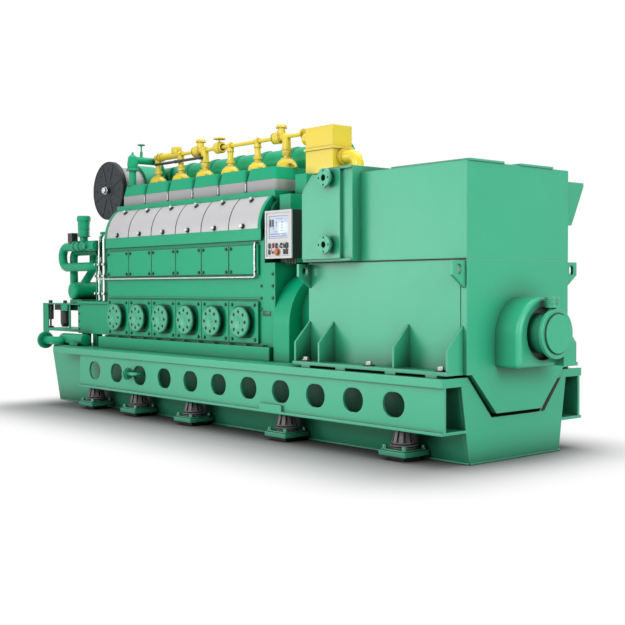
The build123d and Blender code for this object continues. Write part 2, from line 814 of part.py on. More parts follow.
vent_x = first_cylinder - 105
vent_y = -290
vent_pipe_z = rocker_top + 305
vent_gland_y = -170
vent_gland_top = vent_pipe_z + 105
vent_return = 110
vent = [(0, 0), (60, 0), (60, 14), (42, 14), (42, 176), (75, 176), (75, 204), (60, 204), (64, 260),
        (52, 340), (16, 372), (10, 396), (0, 396)]
with BuildPart() as vent_valve:
    turned(vent, (vent_x, vent_y, rocker_top), (0, 0, 1))
    pipe([(vent_x, vent_y, vent_pipe_z), (vent_x, vent_return, vent_pipe_z), (vent_x, vent_return, rocker_top)],
         110, 42)
    drum((vent_x, vent_gland_y, vent_pipe_z), (0, 0, 1), 17, vent_gland_top - vent_pipe_z)
    drum((vent_x, vent_gland_y, vent_gland_top), (0, 0, -1), spindle_radius + running_clearance, gland_depth,
         Mode.SUBTRACT)
keep(vent_valve, "vent_valve")

vent_wheel_height = vent_gland_top + 80
vent_handwheel = handwheel((vent_x, vent_gland_y, vent_wheel_height), vent_gland_top, 40, 7, 17)
keep(vent_handwheel, "vent_handwheel")

# Cooling water at the free end: cooler, pipes and thermostat
cooler_z = housing_bottom + 127
cooler_front = -pump_half
cooler_length = 380
cooler_edge = 40
saddle_wall = 4
cooler_shape = [(0, 0), (cooler_radius - 42, 0), (cooler_radius - 12, 14), (cooler_radius, cooler_edge),
                (cooler_radius, cooler_length), (0, cooler_length)]
with BuildPart() as cooler:
    turned(cooler_shape, (cooler_x, cooler_front, cooler_z), (0, 1, 0))
    block((cooler_x - 100, pump_left + plate_edge), (cooler_front + cooler_edge, cooler_front + cooler_length - 20),
          (housing_bottom - pump_plate, cooler_z - cooler_radius + saddle_wall))
keep(cooler, "cooler")

loop_reach = 339
loop_rise = 422
loop_spread = 252
branch_inset = 70
body_inset = 15
loop_left = pump_left - loop_reach
loop_low = housing_bottom + loop_rise
loop_high = loop_low + loop_spread
loop_bend = min(pipe_reach, loop_spread / 2) - 2
branch_x = housing_left + branch_inset
thermostat_left = pump_left + body_inset
pipe_flange = 18
return_height = loop_high - 59
return_x = cooler_x - 83
riser_front = -housing_half + 80
riser_back = riser_front + 140
riser_radius = 50
with BuildPart() as water_pipes:
    pipe([(branch_x, -housing_half, loop_low), (branch_x, pipe_plane, loop_low), (loop_left, pipe_plane, loop_low),
          (loop_left, pipe_plane, loop_high), (thermostat_left, pipe_plane, loop_high)], loop_bend, water_radius)
    drum((thermostat_left, pipe_plane, loop_high), (-1, 0, 0), water_radius + pipe_flange, 22)
    pipe([(return_x, return_plane, cooler_z + 75), (return_x, return_plane, return_height),
          (housing_left, return_plane, return_height)], 80, riser_radius)
    drum((housing_left, return_plane, return_height), (-1, 0, 0), riser_radius + 10, 24)
    pipe([(cooler_x, riser_front, cooler_z + 78), (cooler_x, riser_back, cooler_z + 278),
          (cooler_x, riser_back, return_height), (housing_left, riser_back, return_height)], 60, riser_radius)
    drum((cooler_x, cooler_front, cooler_z), (0, 1, 0), cooler_radius, cooler_length, Mode.SUBTRACT)
keep(water_pipes, "water_pipes")

body_radius = 62
body_end = housing_left + 124
stack_x = pump_left + 200
stack = [(0, 0), (50, 0), (50, 114), (78, 114), (78, 126), (70, 126), (70, 205), (76, 210), (70, 215), (74, 305),
         (84, 308), (84, 350), (72, 369), (0, 369)]
with BuildPart() as thermostat:
    drum((thermostat_left, pipe_plane, loop_high), (1, 0, 0), body_radius, body_end - thermostat_left)
    for x in (thermostat_left, stack_x - 60, stack_x + 36):
        drum((x, pipe_plane, loop_high), (1, 0, 0), body_radius + 10, 24)
    turned(stack, (stack_x, pipe_plane, loop_high), (0, 0, 1))
    drum((body_end - 60, pipe_plane, loop_high), (0, 1, 0), water_radius, -housing_half - pipe_plane)
    drum((stack_x + 145, pipe_plane, loop_high), (0, -1, 0), 40, 92)
keep(thermostat, "thermostat")

with BuildPart() as terminal_block:
    block((pump_left - 135, pump_left - 25), (pipe_plane - 40, pipe_plane + 40),
          (loop_high + water_radius, loop_high + 170))
keep(terminal_block, "terminal_block")

# Filter frame beyond the pump housing
frame_plate = 15
frame_depth = 380
frame_back = -pump_half + frame_depth
roof_top = housing_bottom - 32
tray_low = pump_bottom + 10
tray_thickness = 35
post_width = 138
beam_plane = -pump_half + 160
beam_low = roof_top - 93
sight_left = pump_left - 435
sight_right = pump_left - 278
inner_post = pump_left - 235
inner_post_width = 27
front = (-pump_half, -pump_half + frame_plate)
with BuildPart() as filter_frame:
    block((frame_end, pump_left), (-pump_half, frame_back), (roof_top - frame_plate, roof_top))
    block((frame_end + post_width / 2, pump_left), (-pump_half, frame_back), (tray_low, tray_low + tray_thickness))
    block((frame_end, frame_end + post_width), front, (tray_low - 20, roof_top))
    block((frame_end + 40, pump_left), (beam_plane - frame_plate, beam_plane), (beam_low, roof_top))
    block((sight_left, sight_right), front, (beam_low, roof_top))
    block((inner_post, inner_post + inner_post_width), front, (tray_low, roof_top))
keep(filter_frame, "filter_frame")

pot_hang = roof_top - frame_plate
pot_drop = pot_hang - tray_low - tray_thickness
rod_radius = 12
small_pot = [(0, 0), (40, 0), (40, 193), (rod_radius, 200), (rod_radius, pot_drop - 20), (40, pot_drop - 20),
             (40, pot_drop), (0, pot_drop)]
large_pot = [(0, 0), (60, 0), (60, 240), (40, 285), (0, 285)]
small_pot_at = (frame_end + 96, -pump_half + 60)
large_pot_at = (pump_left - 481, -pump_half + 80)
cap_radius = 25
cap_height = 37
with BuildPart() as filter_pots:
    turned(small_pot, (*small_pot_at, pot_hang), (0, 0, -1))
    turned(large_pot, (*large_pot_at, pot_hang), (0, 0, -1))
    for x, y in (small_pot_at, large_pot_at):
        drum((x, y, roof_top), (0, 0, 1), cap_radius, cap_height)
keep(filter_pots, "filter_pots")

# Feed pump on the deck with its inlet pipe
feed_reach = 95
feed_radius = 71
feed_overhang = 190
feed_length = 556
feed_foot = 201
foot_start = 252
feed_plane = -pump_half - feed_reach
feed_z = frame_top + 1 + feed_radius
feed_left = pump_left - feed_overhang
inlet_reach = 145
inlet_radius = 50
inlet_lift = 4
inlet_overhang = 120
inlet_bend = 70
inlet_plane = feed_plane - inlet_reach
inlet_z = frame_top + inlet_radius + inlet_lift
inlet_end = -half_length - inlet_overhang
inlet_turn = feed_left + feed_foot / 2
inlet_flange = 105
inlet_flange_thickness = 30
with BuildPart() as feed_pump:
    drum((feed_left, feed_plane, feed_z), (1, 0, 0), feed_radius, feed_length)
    block((feed_left + foot_start, feed_left + foot_start + feed_foot),
          (feed_plane - feed_radius + 9, feed_plane + feed_radius - 9), (frame_top, feed_z))
    pipe([(inlet_end, inlet_plane, inlet_z), (inlet_turn, inlet_plane, inlet_z), (inlet_turn, feed_plane, inlet_z)],
         inlet_bend, inlet_radius)
    drum((inlet_end, inlet_plane, inlet_z), (1, 0, 0), inlet_flange, inlet_flange_thickness)
keep(feed_pump, "feed_pump")

# Bright oil pipes up the free end and along the covers
oil_pipe_plane = -pump_half
oil_pipe_top = housing_top - 50
oil_pipe_x = {"wide": block_left - 188, "thin": block_left - 308}
oil_pipe_radius = {"wide": 20, "thin": 12}
rail_line_plane = -face - 12
rail_line_z = crank_cover_top + 239
rail_line_radius = 9
rail_line_end = row_right - 38
rail_line_top = cam_cover_top + 22
clip = 8
with BuildPart() as steel_pipes:
    for k, x in oil_pipe_x.items():
        pipe([(x, oil_pipe_plane, housing_bottom), (x, oil_pipe_plane, oil_pipe_top),
              (x, -housing_half, oil_pipe_top)], 50, oil_pipe_radius[k])
    pipe([(oil_pipe_x["wide"], oil_pipe_plane, rail_line_z), (oil_pipe_x["wide"], rail_line_plane, rail_line_z),
          (rail_line_end, rail_line_plane, rail_line_z), (rail_line_end, rail_line_plane, rail_line_top),
          (rail_line_end, -block_half, rail_line_top)], 18, rail_line_radius)
    for x in cylinder_x:
        block((x - clip, x + clip), (rail_line_plane, -block_half), (rail_line_z - clip, rail_line_z + clip))
keep(steel_pipes, "steel_pipes")

# Alternator
casing = [(-alt_belly_bottom_half, alt_belly_bottom), (alt_belly_bottom_half, alt_belly_bottom),
          (alt_belly_half, alt_foot_bottom), (alt_half, alt_foot_bottom), (alt_half, alt_seam),
          (-alt_half, alt_seam), (-alt_half, alt_foot_bottom), (-alt_belly_half, alt_foot_bottom)]
with BuildPart() as alternator_body:
    prism(casing, Plane.YZ.offset(alt_left), alt_length)
    with BuildSketch(Plane.YZ.offset(alt_right - end_shield)) as joint:
        with BuildLine():
            Polyline(*casing, close=True)
        make_face()
        offset(amount=-shield_groove, kind=Kind.INTERSECTION, mode=Mode.SUBTRACT)
    extrude(joint.sketch, amount=-shield_groove, mode=Mode.SUBTRACT)
keep(alternator_body, "alternator_body")

gusset = 20
gusset_inset = 4
gusset_lip = 18
gusset_edge = 200
gusset_height = 385
gusset_low = alt_foot_bottom + gusset_edge
gusset_high = alt_foot_bottom + gusset_height
packing_width = 120
packing_step = 454
packing_inner = 708
packing_outer = 220
first_packing = alt_left + packing_width
packing_spots = (first_packing, first_packing + packing_step, alt_right - packing_inner, half_length - packing_outer)
gusset_step = 320
gusset_inner = 640
first_gusset = alt_left + gusset_inset
gusset_spots = (first_gusset, first_gusset + gusset_step, alt_right - gusset_inner,
                half_length - gusset - gusset_inset / 2)
foot_plate_top = alt_foot_bottom + alt_foot_thickness
with BuildPart() as alternator_feet:
    for s in (-1, 1):
        block((alt_left, half_length), mirrored(s, (alt_half, alt_foot_half)), (alt_foot_bottom, foot_plate_top))
        for x in packing_spots:
            block((x, x + packing_width), mirrored(s, (alt_half, alt_foot_half)), (frame_top, alt_foot_bottom))
        for x in gusset_spots:
            prism([(s * alt_half, foot_plate_top), (s * (alt_foot_half - gusset_lip), foot_plate_top),
                   (s * (alt_foot_half - gusset_lip), gusset_low), (s * alt_half, gusset_high)],
                  Plane.YZ.offset(x), gusset)
keep(alternator_feet, "alternator_feet")

lug_reach = 147
lug_thickness = 30
lug_top = alt_seam - 17
lug_edge = lug_top - 110
lug_foot = lug_top - 215
with BuildPart() as lifting_lugs:
    for s in (-1, 1):
        for x in (alt_left + 4, alt_right - end_shield + 15):
            prism([(s * alt_half, lug_foot), (s * alt_half, lug_top), (s * (alt_half + lug_reach), lug_top),
                   (s * (alt_half + lug_reach), lug_edge)], Plane.YZ.offset(x), lug_thickness)
            with BuildSketch(Plane.YZ.offset(x)) as eye:
                with Locations((s * (alt_half + lug_reach / 2), lug_top - 68)):
                    RectangleRounded(60, 84, 29)
            extrude(eye.sketch, amount=lug_thickness, mode=Mode.SUBTRACT)
keep(lifting_lugs, "lifting_lugs")

with BuildPart() as alternator_top:
    block((alt_box_left, alt_right), (-alt_box_half, alt_box_half), (alt_seam, alt_box_top))
keep(alternator_top, "alternator_top")

crown_left = 265
shoulder_left = 127
shoulder_drop = 45
shoulder_slope = 130
shoulder_top = cooler_top - shoulder_drop
with BuildPart() as cooler_box:
    prism([(cooler_left, alt_seam), (alt_box_left, alt_seam), (alt_box_left, cooler_top),
           (cooler_left + crown_left, cooler_top), (cooler_left + crown_left, shoulder_top),
           (cooler_left + shoulder_left, shoulder_top), (cooler_left, shoulder_top - shoulder_slope)],
          Plane.XZ.offset(-cooler_half), 2 * cooler_half)
keep(cooler_box, "cooler_box")

flange_inset = 424
lower_flange = 145
upper_flange = 723
flange_reach = 100
flange_x = alt_left + flange_inset
flange_heights = (alt_seam + lower_flange, alt_seam + upper_flange)
flange_face = -cooler_half - flange_reach
flange_bore = 28
flange_radius = 82
with BuildPart() as cooling_flanges:
    for z in flange_heights:
        drum((flange_x, -cooler_half, z), (0, -1, 0), 46, -cooler_half - flange_face)
        drum((flange_x, flange_face, z), (0, 1, 0), flange_radius, 24)
        with BuildSketch(Plane(origin=(flange_x, flange_face, z), z_dir=(0, 1, 0))) as drilled:
            Circle(flange_bore)
            with PolarLocations(62, 4):
                Circle(9)
        extrude(drilled.sketch, amount=-cooler_half - flange_face, mode=Mode.SUBTRACT)
keep(cooling_flanges, "cooling_flanges")

cover_plate = 17
roof_cover_length = 859
roof_cover_width = 424
roof_lip = 10
roof_margin = 23
roof_gap = 213
near_cover = -alt_box_half + roof_margin
far_cover = near_cover + roof_cover_width + roof_gap
with BuildPart() as roof_covers:
    for y in (near_cover, far_cover):
        block((alt_right + roof_lip - roof_cover_length, alt_right + roof_lip), (y, y + roof_cover_width),
              (alt_box_top, alt_box_top + cover_plate))
keep(roof_covers, "roof_covers")

box_rise = 311
box_height = 380
box_rim = 33
box_floor = 244
box_depth = 420
box_length = 800
box_start = 140
box_low = alt_seam + box_rise
box_high = box_low + box_height
with BuildPart() as terminal_box:
    prism([(alt_box_half, box_low), (alt_box_half + box_floor, box_low), (alt_box_half + box_depth, box_high - box_rim),
           (alt_box_half + box_depth, box_high), (alt_box_half, box_high)],
          Plane.YZ.offset(alt_right - box_start - box_length), box_length)
keep(terminal_box, "terminal_box")

bearing_half = 310
bearing_depth = 240
bearing_bottom = frame_top + 66
bearing_spring = shaft_height - 20
bearing_round = 42
corner_round = 30
bearing_front = alt_right + bearing_depth
seal = [(0, -60), (160, -60), (160, 102), (200, 102), (200, 134), (168, 134), (168, 126), (156, 126), (156, 149),
        (0, 149)]
filler_x = bearing_front + 80
filler_low = shaft_height + 206
with BuildPart() as bearing_housing:
    with BuildSketch(Plane.YZ.offset(alt_right)) as arch:
        with BuildLine():
            Polyline((-bearing_half, bearing_spring), (-bearing_half, bearing_bottom),
                     (bearing_half, bearing_bottom), (bearing_half, bearing_spring))
            ThreePointArc((bearing_half, bearing_spring), (0, bearing_spring + bearing_half),
                          (-bearing_half, bearing_spring))
        make_face()
        fillet(arch.vertices().sort_by(Axis.Y)[:2], radius=corner_round)
    extrude(arch.sketch, amount=bearing_depth)
    fillet(bearing_housing.faces().sort_by(Axis.X)[-1].edges(), radius=bearing_round)
    drum((bearing_front, 0, shaft_height), (-1, 0, 0), 215, 60, Mode.SUBTRACT)
    turned(seal, (bearing_front, 0, shaft_height), (1, 0, 0))
    drum((filler_x, 0, shaft_height + 150), (0, 0, 1), 34, 60)
    drum((filler_x, 0, filler_low), (0, 0, 1), 56, 86)
    block((alt_right + 150, bearing_front + 72), (170, bearing_half + 6), (bearing_bottom + 5, shaft_height - 62))
keep(bearing_housing, "bearing_housing")
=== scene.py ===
"""Looks of the gas engine generating set: studio, materials and small pieces. Metres."""

import json
from contextlib import contextmanager
from math import asin, cos, pi, radians, sin, tan

import bmesh
import bpy
from mathutils import Matrix, Vector


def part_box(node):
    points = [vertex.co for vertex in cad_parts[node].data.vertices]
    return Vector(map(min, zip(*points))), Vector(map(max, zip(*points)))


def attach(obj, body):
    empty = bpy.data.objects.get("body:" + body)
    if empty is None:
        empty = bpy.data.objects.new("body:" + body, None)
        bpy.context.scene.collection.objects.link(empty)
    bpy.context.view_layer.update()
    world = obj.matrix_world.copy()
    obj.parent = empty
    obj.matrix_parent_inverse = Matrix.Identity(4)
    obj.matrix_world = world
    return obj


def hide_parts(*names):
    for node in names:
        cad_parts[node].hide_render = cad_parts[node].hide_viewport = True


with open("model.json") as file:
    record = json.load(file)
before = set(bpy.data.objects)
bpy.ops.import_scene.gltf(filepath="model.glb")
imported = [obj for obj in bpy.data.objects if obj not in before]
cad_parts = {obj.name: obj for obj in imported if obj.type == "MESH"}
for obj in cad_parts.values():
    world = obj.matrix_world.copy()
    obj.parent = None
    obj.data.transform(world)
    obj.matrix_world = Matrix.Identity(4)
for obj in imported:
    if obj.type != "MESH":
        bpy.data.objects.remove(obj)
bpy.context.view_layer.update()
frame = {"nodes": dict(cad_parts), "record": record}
nodes = frame["nodes"]
scene = bpy.context.scene

# Camera fitted to the photograph
camera_place = Vector((8.9467, -7.0241, 1.4186))
camera_azimuth = radians(49.154)
camera_elevation = radians(1.436)
camera_roll = radians(-0.195)
camera_lens = 62.02

# Driving sizes of the set
pitch = 0.480
first_cylinder = -1.972
cylinders = [first_cylinder + pitch * i for i in range(6)]
cover_width = 0.470
mount_x = (-2.169, -1.239, -0.182, 1.319, 2.818)
mount_y = 0.745
foot_top = 0.080
foot_bolt_spacing = 0.220
sides = (-1, 1)
block_half = 0.540
foot_plate_top = 0.745

# Directions of axes
upward = (0, 0, 1)
downward = (0, 0, -1)
lengthwise = (1, 0, 0)
nearward = (0, -1, 0)
farward = (0, 1, 0)

# Studio: sky, floor and the patch of floor that keeps the shadow
ambient_level = 0.30
ambient_colour = (0.93, 0.97, 1.0, 1)
floor_half = 60
floor_drop = 0.001
contact_reach = 0.7
floor_colour = (0.585, 0.56, 0.57, 1)
shadow_centre = (0.25, -0.3, 0)
footprint = (2.95, 0.85, 0)
fade_start = 0.1
fade_end = 1.25


def add_camera():
    """Camera from its place, azimuth, elevation and roll."""
    back = Vector((sin(camera_azimuth) * cos(camera_elevation),
                   -cos(camera_azimuth) * cos(camera_elevation), sin(camera_elevation)))
    level = Vector((cos(camera_azimuth), sin(camera_azimuth), 0))
    rise = back.cross(level)
    right = level * cos(camera_roll) + rise * sin(camera_roll)
    up = -level * sin(camera_roll) + rise * cos(camera_roll)
    data = bpy.data.cameras.new("camera")
    data.sensor_width = 36
    data.lens = camera_lens
    data.clip_end = 200
    camera = bpy.data.objects.new("camera", data)
    turn = Matrix((right, up, back)).transposed().to_4x4()
    camera.matrix_world = Matrix.Translation(camera_place) @ turn
    scene.collection.objects.link(camera)
    scene.camera = camera


def add_softbox(name, place, target, size, power, spread=pi):
    """Rectangular lamp that faces its target."""
    data = bpy.data.lights.new(name, "AREA")
    data.shape = "RECTANGLE"
    data.size, data.size_y = size
    data.energy = power
    data.spread = spread
    lamp = bpy.data.objects.new(name, data)
    aim = Vector(place) - Vector(target)
    lamp.location = place
    lamp.rotation_mode = "QUATERNION"
    lamp.rotation_quaternion = aim.to_track_quat("Z", "Y")
    scene.collection.objects.link(lamp)


def backdrop_rays(tree):
    """1 for the rays that should see a white backdrop."""
    path = tree.nodes.new("ShaderNodeLightPath")
    seen = path.outputs["Is Camera Ray"]
    for other in ("Is Glossy Ray", "Is Transmission Ray"):
        both = tree.nodes.new("ShaderNodeMath")
        both.operation = "MAXIMUM"
        tree.links.new(seen, both.inputs[0])
        tree.links.new(path.outputs[other], both.inputs[1])
        seen = both.outputs[0]
    return seen


def add_world():
    """Soft sky light on the set in front of a white backdrop."""
    world = bpy.data.worlds.new("studio")
    scene.world = world
    world.use_nodes = True
    tree = world.node_tree
    ambient = tree.nodes["Background"]
    ambient.inputs["Color"].default_value = ambient_colour
    ambient.inputs["Strength"].default_value = ambient_level
    white = tree.nodes.new("ShaderNodeBackground")
    white.inputs["Color"].default_value = (1, 1, 1, 1)
    mix = tree.nodes.new("ShaderNodeMixShader")
    tree.links.new(backdrop_rays(tree), mix.inputs[0])
    tree.links.new(ambient.outputs[0], mix.inputs[1])
    tree.links.new(white.outputs[0], mix.inputs[2])
    tree.links.new(mix.outputs[0], tree.nodes["World Output"].inputs[0])


def add_floor():
    """Pale floor with painted contact shade; keeps the shadow near the set and fades to white around it."""
    corners = [(x * floor_half, y * floor_half, 0) for x, y in ((-1, -1), (1, -1), (1, 1), (-1, 1))]
    mesh = bpy.data.meshes.new("floor")
    mesh.from_pydata(corners, [], [(0, 1, 2, 3)])
    floor = bpy.data.objects.new("floor", mesh)
    floor.location.z = -floor_drop
    scene.collection.objects.link(floor)
    material = bpy.data.materials.new("floor")
    material.use_nodes = True
    tree = material.node_tree
    tree.nodes.remove(tree.nodes["Principled BSDF"])
    diffuse = tree.nodes.new("ShaderNodeBsdfDiffuse")
    # Painted shade: ambient occlusion darkens the floor's colour close to the set
    contact_shade = tree.nodes.new("ShaderNodeAmbientOcclusion")
    contact_shade.samples = 8
    contact_shade.inputs["Distance"].default_value = contact_reach
    contact_shade.inputs["Color"].default_value = floor_colour
    tree.links.new(contact_shade.outputs["Color"], diffuse.inputs["Color"])
    glow = tree.nodes.new("ShaderNodeEmission")
    glow.inputs["Color"].default_value = (1, 1, 1, 1)
    place = tree.nodes.new("ShaderNodeTexCoord").outputs["Object"]
    for operation, value in (("SUBTRACT", shadow_centre), ("ABSOLUTE", None), ("SUBTRACT", footprint),
                             ("MAXIMUM", (0, 0, 0))):
        step = tree.nodes.new("ShaderNodeVectorMath")
        step.operation = operation
        if value:
            step.inputs[1].default_value = value
        tree.links.new(place, step.inputs[0])
        place = step.outputs[0]
    length = tree.nodes.new("ShaderNodeVectorMath")
    length.operation = "LENGTH"
    tree.links.new(place, length.inputs[0])
    fade = tree.nodes.new("ShaderNodeMapRange")
    fade.interpolation_type = "SMOOTHSTEP"
    fade.inputs["From Min"].default_value = fade_start
    fade.inputs["From Max"].default_value = fade_end
    tree.links.new(length.outputs["Value"], fade.inputs["Value"])
    seen = tree.nodes.new("ShaderNodeMath")
    seen.operation = "MULTIPLY"
    tree.links.new(fade.outputs[0], seen.inputs[0])
    tree.links.new(backdrop_rays(tree), seen.inputs[1])
    mix = tree.nodes.new("ShaderNodeMixShader")
    tree.links.new(seen.outputs[0], mix.inputs[0])
    tree.links.new(diffuse.outputs[0], mix.inputs[1])
    tree.links.new(glow.outputs[0], mix.inputs[2])
    tree.links.new(mix.outputs[0], tree.nodes["Material Output"].inputs[0])
    mesh.materials.append(material)


add_camera()
add_world()
add_softbox("key", place=(3.2, -10.0, 5.2), target=(1.4, 0, 1.2), size=(6.0, 4.0), power=440)
add_softbox("sheen", place=(-6.0, -9.5, 2.1), target=(2.6, -0.6, 1.2), size=(5.5, 3.6), power=66,
            spread=radians(80))
add_softbox("fill", place=(10.5, -1.5, 3.6), target=(2.5, 0, 1.2), size=(4.0, 4.0), power=310)
add_softbox("top", place=(0.5, 1.5, 8.5), target=(0.3, 0, 0.8), size=(9.0, 5.0), power=420)
add_softbox("back", place=(-3.0, 9.0, 3.5), target=(0, 0, 1.2), size=(6.0, 3.5), power=260)
add_floor()
scene.view_settings.view_transform = "Standard"


# Materials
def principled(name):
    """New material with its node tree and shader."""
    material = bpy.data.materials.new(name)
    material.use_nodes = True
    tree = material.node_tree
    return material, tree, tree.nodes["Principled BSDF"]


def new_node(tree, kind, **settings):
    """Shader node with its settings."""
    node = tree.nodes.new(kind)
    for key, value in settings.items():
        setattr(node, key, value)
    return node


def noise(tree, scale, detail):
    """Noise over the rest position of the piece; scale is in waves a metre."""
    place = new_node(tree, "ShaderNodeTexCoord").outputs["Object"]
    texture = new_node(tree, "ShaderNodeTexNoise")
    texture.inputs["Scale"].default_value = scale
    texture.inputs["Detail"].default_value = detail
    tree.links.new(place, texture.inputs["Vector"])
    return texture.outputs["Fac"]


def ranged(tree, value, low, high, start=0.0, end=1.0):
    """Map a value from start..end to low..high."""
    node = new_node(tree, "ShaderNodeMapRange")
    node.inputs["From Min"].default_value = start
    node.inputs["From Max"].default_value = end
    node.inputs["To Min"].default_value = low
    node.inputs["To Max"].default_value = high
    tree.links.new(value, node.inputs["Value"])
    return node.outputs[0]


def mixed(tree, factor, first, second, blend="MIX"):
    """Mix two colours, each a tuple or a socket."""
    node = new_node(tree, "ShaderNodeMix", data_type="RGBA", blend_type=blend)
    for socket, value in ((node.inputs[0], factor), (node.inputs[6], first), (node.inputs[7], second)):
        if isinstance(value, (tuple, float)):
            socket.default_value = value
        else:
            tree.links.new(value, socket)
    return node.outputs[2]


def toward_white(colour, share):
    """Colour moved a share of the way to white."""
    return tuple(c + (1 - c) * share for c in colour[:3]) + (1.0,)


mottle_scale = 1.3
gloss_scale = 9.0
noise_span = (0.3, 0.7)
rim_span = (0.86, 0.995)
rim_whiteness = 0.42
crevice_span = (0.28, 0.93)
gloss_below = 0.012
gloss_above = 0.018
coat_roughness = 0.18
skin_depth = 0.002


def coated(name, colour, roughness=0.36, metallic=0.0, edge=0.012, rim=0.30, crevice=0.16, dark=0.25,
           grain=260.0, bump=0.05, variation=0.035, coat=0.0, shine=0.5):
    """Painted metal: soft edges with painted highlight, painted shade in joints, faint mottling, sprayed
    enamel skin.
    """
    material, tree, shader = principled(name)
    links = tree.links
    base = colour + (1.0,)
    tone = ranged(tree, noise(tree, mottle_scale, 4.0), 1 - variation, 1 + variation, *noise_span)
    tinted = mixed(tree, 1.0, base, tone, "MULTIPLY")
    rounded = new_node(tree, "ShaderNodeBevel", samples=4)
    rounded.inputs["Radius"].default_value = edge
    # Painted highlight: the colour turns lighter along edges, where the rounded normal leaves the flat one
    if rim:
        flat = new_node(tree, "ShaderNodeNewGeometry")
        match = new_node(tree, "ShaderNodeVectorMath", operation="DOT_PRODUCT")
        links.new(rounded.outputs[0], match.inputs[0])
        links.new(flat.outputs["Normal"], match.inputs[1])
        edge_highlight_mask = ranged(tree, match.outputs["Value"], rim, 0.0, *rim_span)
        tinted = mixed(tree, edge_highlight_mask, tinted, toward_white(base, rim_whiteness))
    # Painted shade: the colour darkens by ambient occlusion in joints, recesses, holes and under overhangs
    if crevice:
        occlusion = new_node(tree, "ShaderNodeAmbientOcclusion", samples=6)
        occlusion.inputs["Distance"].default_value = crevice
        depth = ranged(tree, occlusion.outputs["AO"], 1.0, 0.0, *crevice_span)
        painted_crevice_shade = mixed(tree, 1.0, tinted, (dark,) * 3 + (1.0,), "MULTIPLY")
        tinted = mixed(tree, depth, tinted, painted_crevice_shade)
    links.new(tinted, shader.inputs["Base Color"])
    gloss = ranged(tree, noise(tree, gloss_scale, 4.0), roughness - gloss_below, roughness + gloss_above,
                   *noise_span)
    links.new(gloss, shader.inputs["Roughness"])
    shader.inputs["Metallic"].default_value = metallic
    shader.inputs["Specular IOR Level"].default_value = shine
    shader.inputs["Coat Weight"].default_value = coat
    shader.inputs["Coat Roughness"].default_value = coat_roughness
    skin = new_node(tree, "ShaderNodeBump")
    skin.inputs["Strength"].default_value = bump
    skin.inputs["Distance"].default_value = skin_depth
    links.new(noise(tree, grain, 2.0), skin.inputs["Height"])
    links.new(rounded.outputs[0], skin.inputs["Normal"])
    links.new(skin.outputs[0], shader.inputs["Normal"])
    return material


# Finishes by the record's slot, then those that only small pieces have
materials = {
    "paint_green": coated("engine_green", (0.003, 0.420, 0.205), roughness=0.40, dark=0.08, shine=0.25),
    "paint_frame": coated("frame_green", (0.034, 0.455, 0.248), roughness=0.40, rim=0.40, crevice=0.26,
                          dark=0.10, shine=0.6),
    "paint_grey": coated("head_grey", (0.44, 0.43, 0.44), roughness=0.48, rim=0.2),
    "paint_yellow": coated("gas_yellow", (0.98, 0.73, 0.040), roughness=0.33, rim=0.25, crevice=0.10,
                           dark=0.30, coat=0.2),
    "cover_silver": coated("cover_silver", (0.60, 0.59, 0.60), roughness=0.42, metallic=0.15, rim=0.25,
                           edge=0.005, crevice=0.05, dark=0.4),
    "dark_steel": coated("dark_steel", (0.019, 0.024, 0.029), roughness=0.5, rim=0.06, dark=0.3, shine=0.3),
    "bright_steel": coated("bright_steel", (0.66, 0.67, 0.68), roughness=0.24, metallic=0.9, rim=0.0,
                           edge=0.003, crevice=0.04, dark=0.3, bump=0.02),
    "rubber": coated("mount_black", (0.030, 0.026, 0.028), roughness=0.5, rim=0.12, edge=0.006, dark=0.2),
    "black_plastic": coated("black_plastic", (0.020, 0.023, 0.021), roughness=0.42, rim=0.08, edge=0.006),
    "panel_front": coated("panel_grey", (0.70, 0.69, 0.70), roughness=0.35, rim=0.35, edge=0.004,
                          crevice=0.03),
    "bolt_green": coated("bolt_green", (0.008, 0.110, 0.055), roughness=0.38, rim=0.0, edge=0.002,
                         crevice=0.03),
    # Near-black for dark joints, and painted shade in holes and gaps
    "joint_black_and_shade": coated("joint_black_and_shade", (0.006, 0.007, 0.007), roughness=0.7, rim=0.0, edge=0.002, crevice=0.0),
    "mount_casting": coated("mount_casting", (0.135, 0.120, 0.126), roughness=0.45, rim=0.25, edge=0.004,
                            crevice=0.03, dark=0.15),
    "silencer_rib": coated("silencer_rib", (0.016, 0.020, 0.024), roughness=0.5, rim=0.0, edge=0.003,
                           crevice=0.02),
    "screen_glass": coated("screen_glass", (0.70, 0.80, 0.96), roughness=0.12, rim=0.0, edge=0.001,
                           crevice=0.0, bump=0.0, variation=0.02),
    "screen_bar": coated("screen_bar", (0.17, 0.24, 0.46), roughness=0.2, rim=0.0, edge=0.001, crevice=0.0,
                         bump=0.0),
    "button_red": coated("button_red", (0.26, 0.008, 0.020), roughness=0.3, rim=0.1, edge=0.002,
                         crevice=0.02),
    "button_white": coated("button_white", (0.86, 0.86, 0.86), roughness=0.3, rim=0.0, edge=0.002,
                           crevice=0.02),
    "button_yellow": coated("button_yellow", (0.80, 0.50, 0.10), roughness=0.35, rim=0.0, edge=0.002,
                            crevice=0.02),
    "button_orange": coated("button_orange", (0.62, 0.085, 0.015), roughness=0.3, rim=0.2, edge=0.003,
                            crevice=0.02),
}


# Mesh helpers
def frame_of(axis):
    """Three directions at right angles, the last one along the axis."""
    z = Vector(axis).normalized()
    x = z.orthogonal().normalized()
    return x, z.cross(x), z


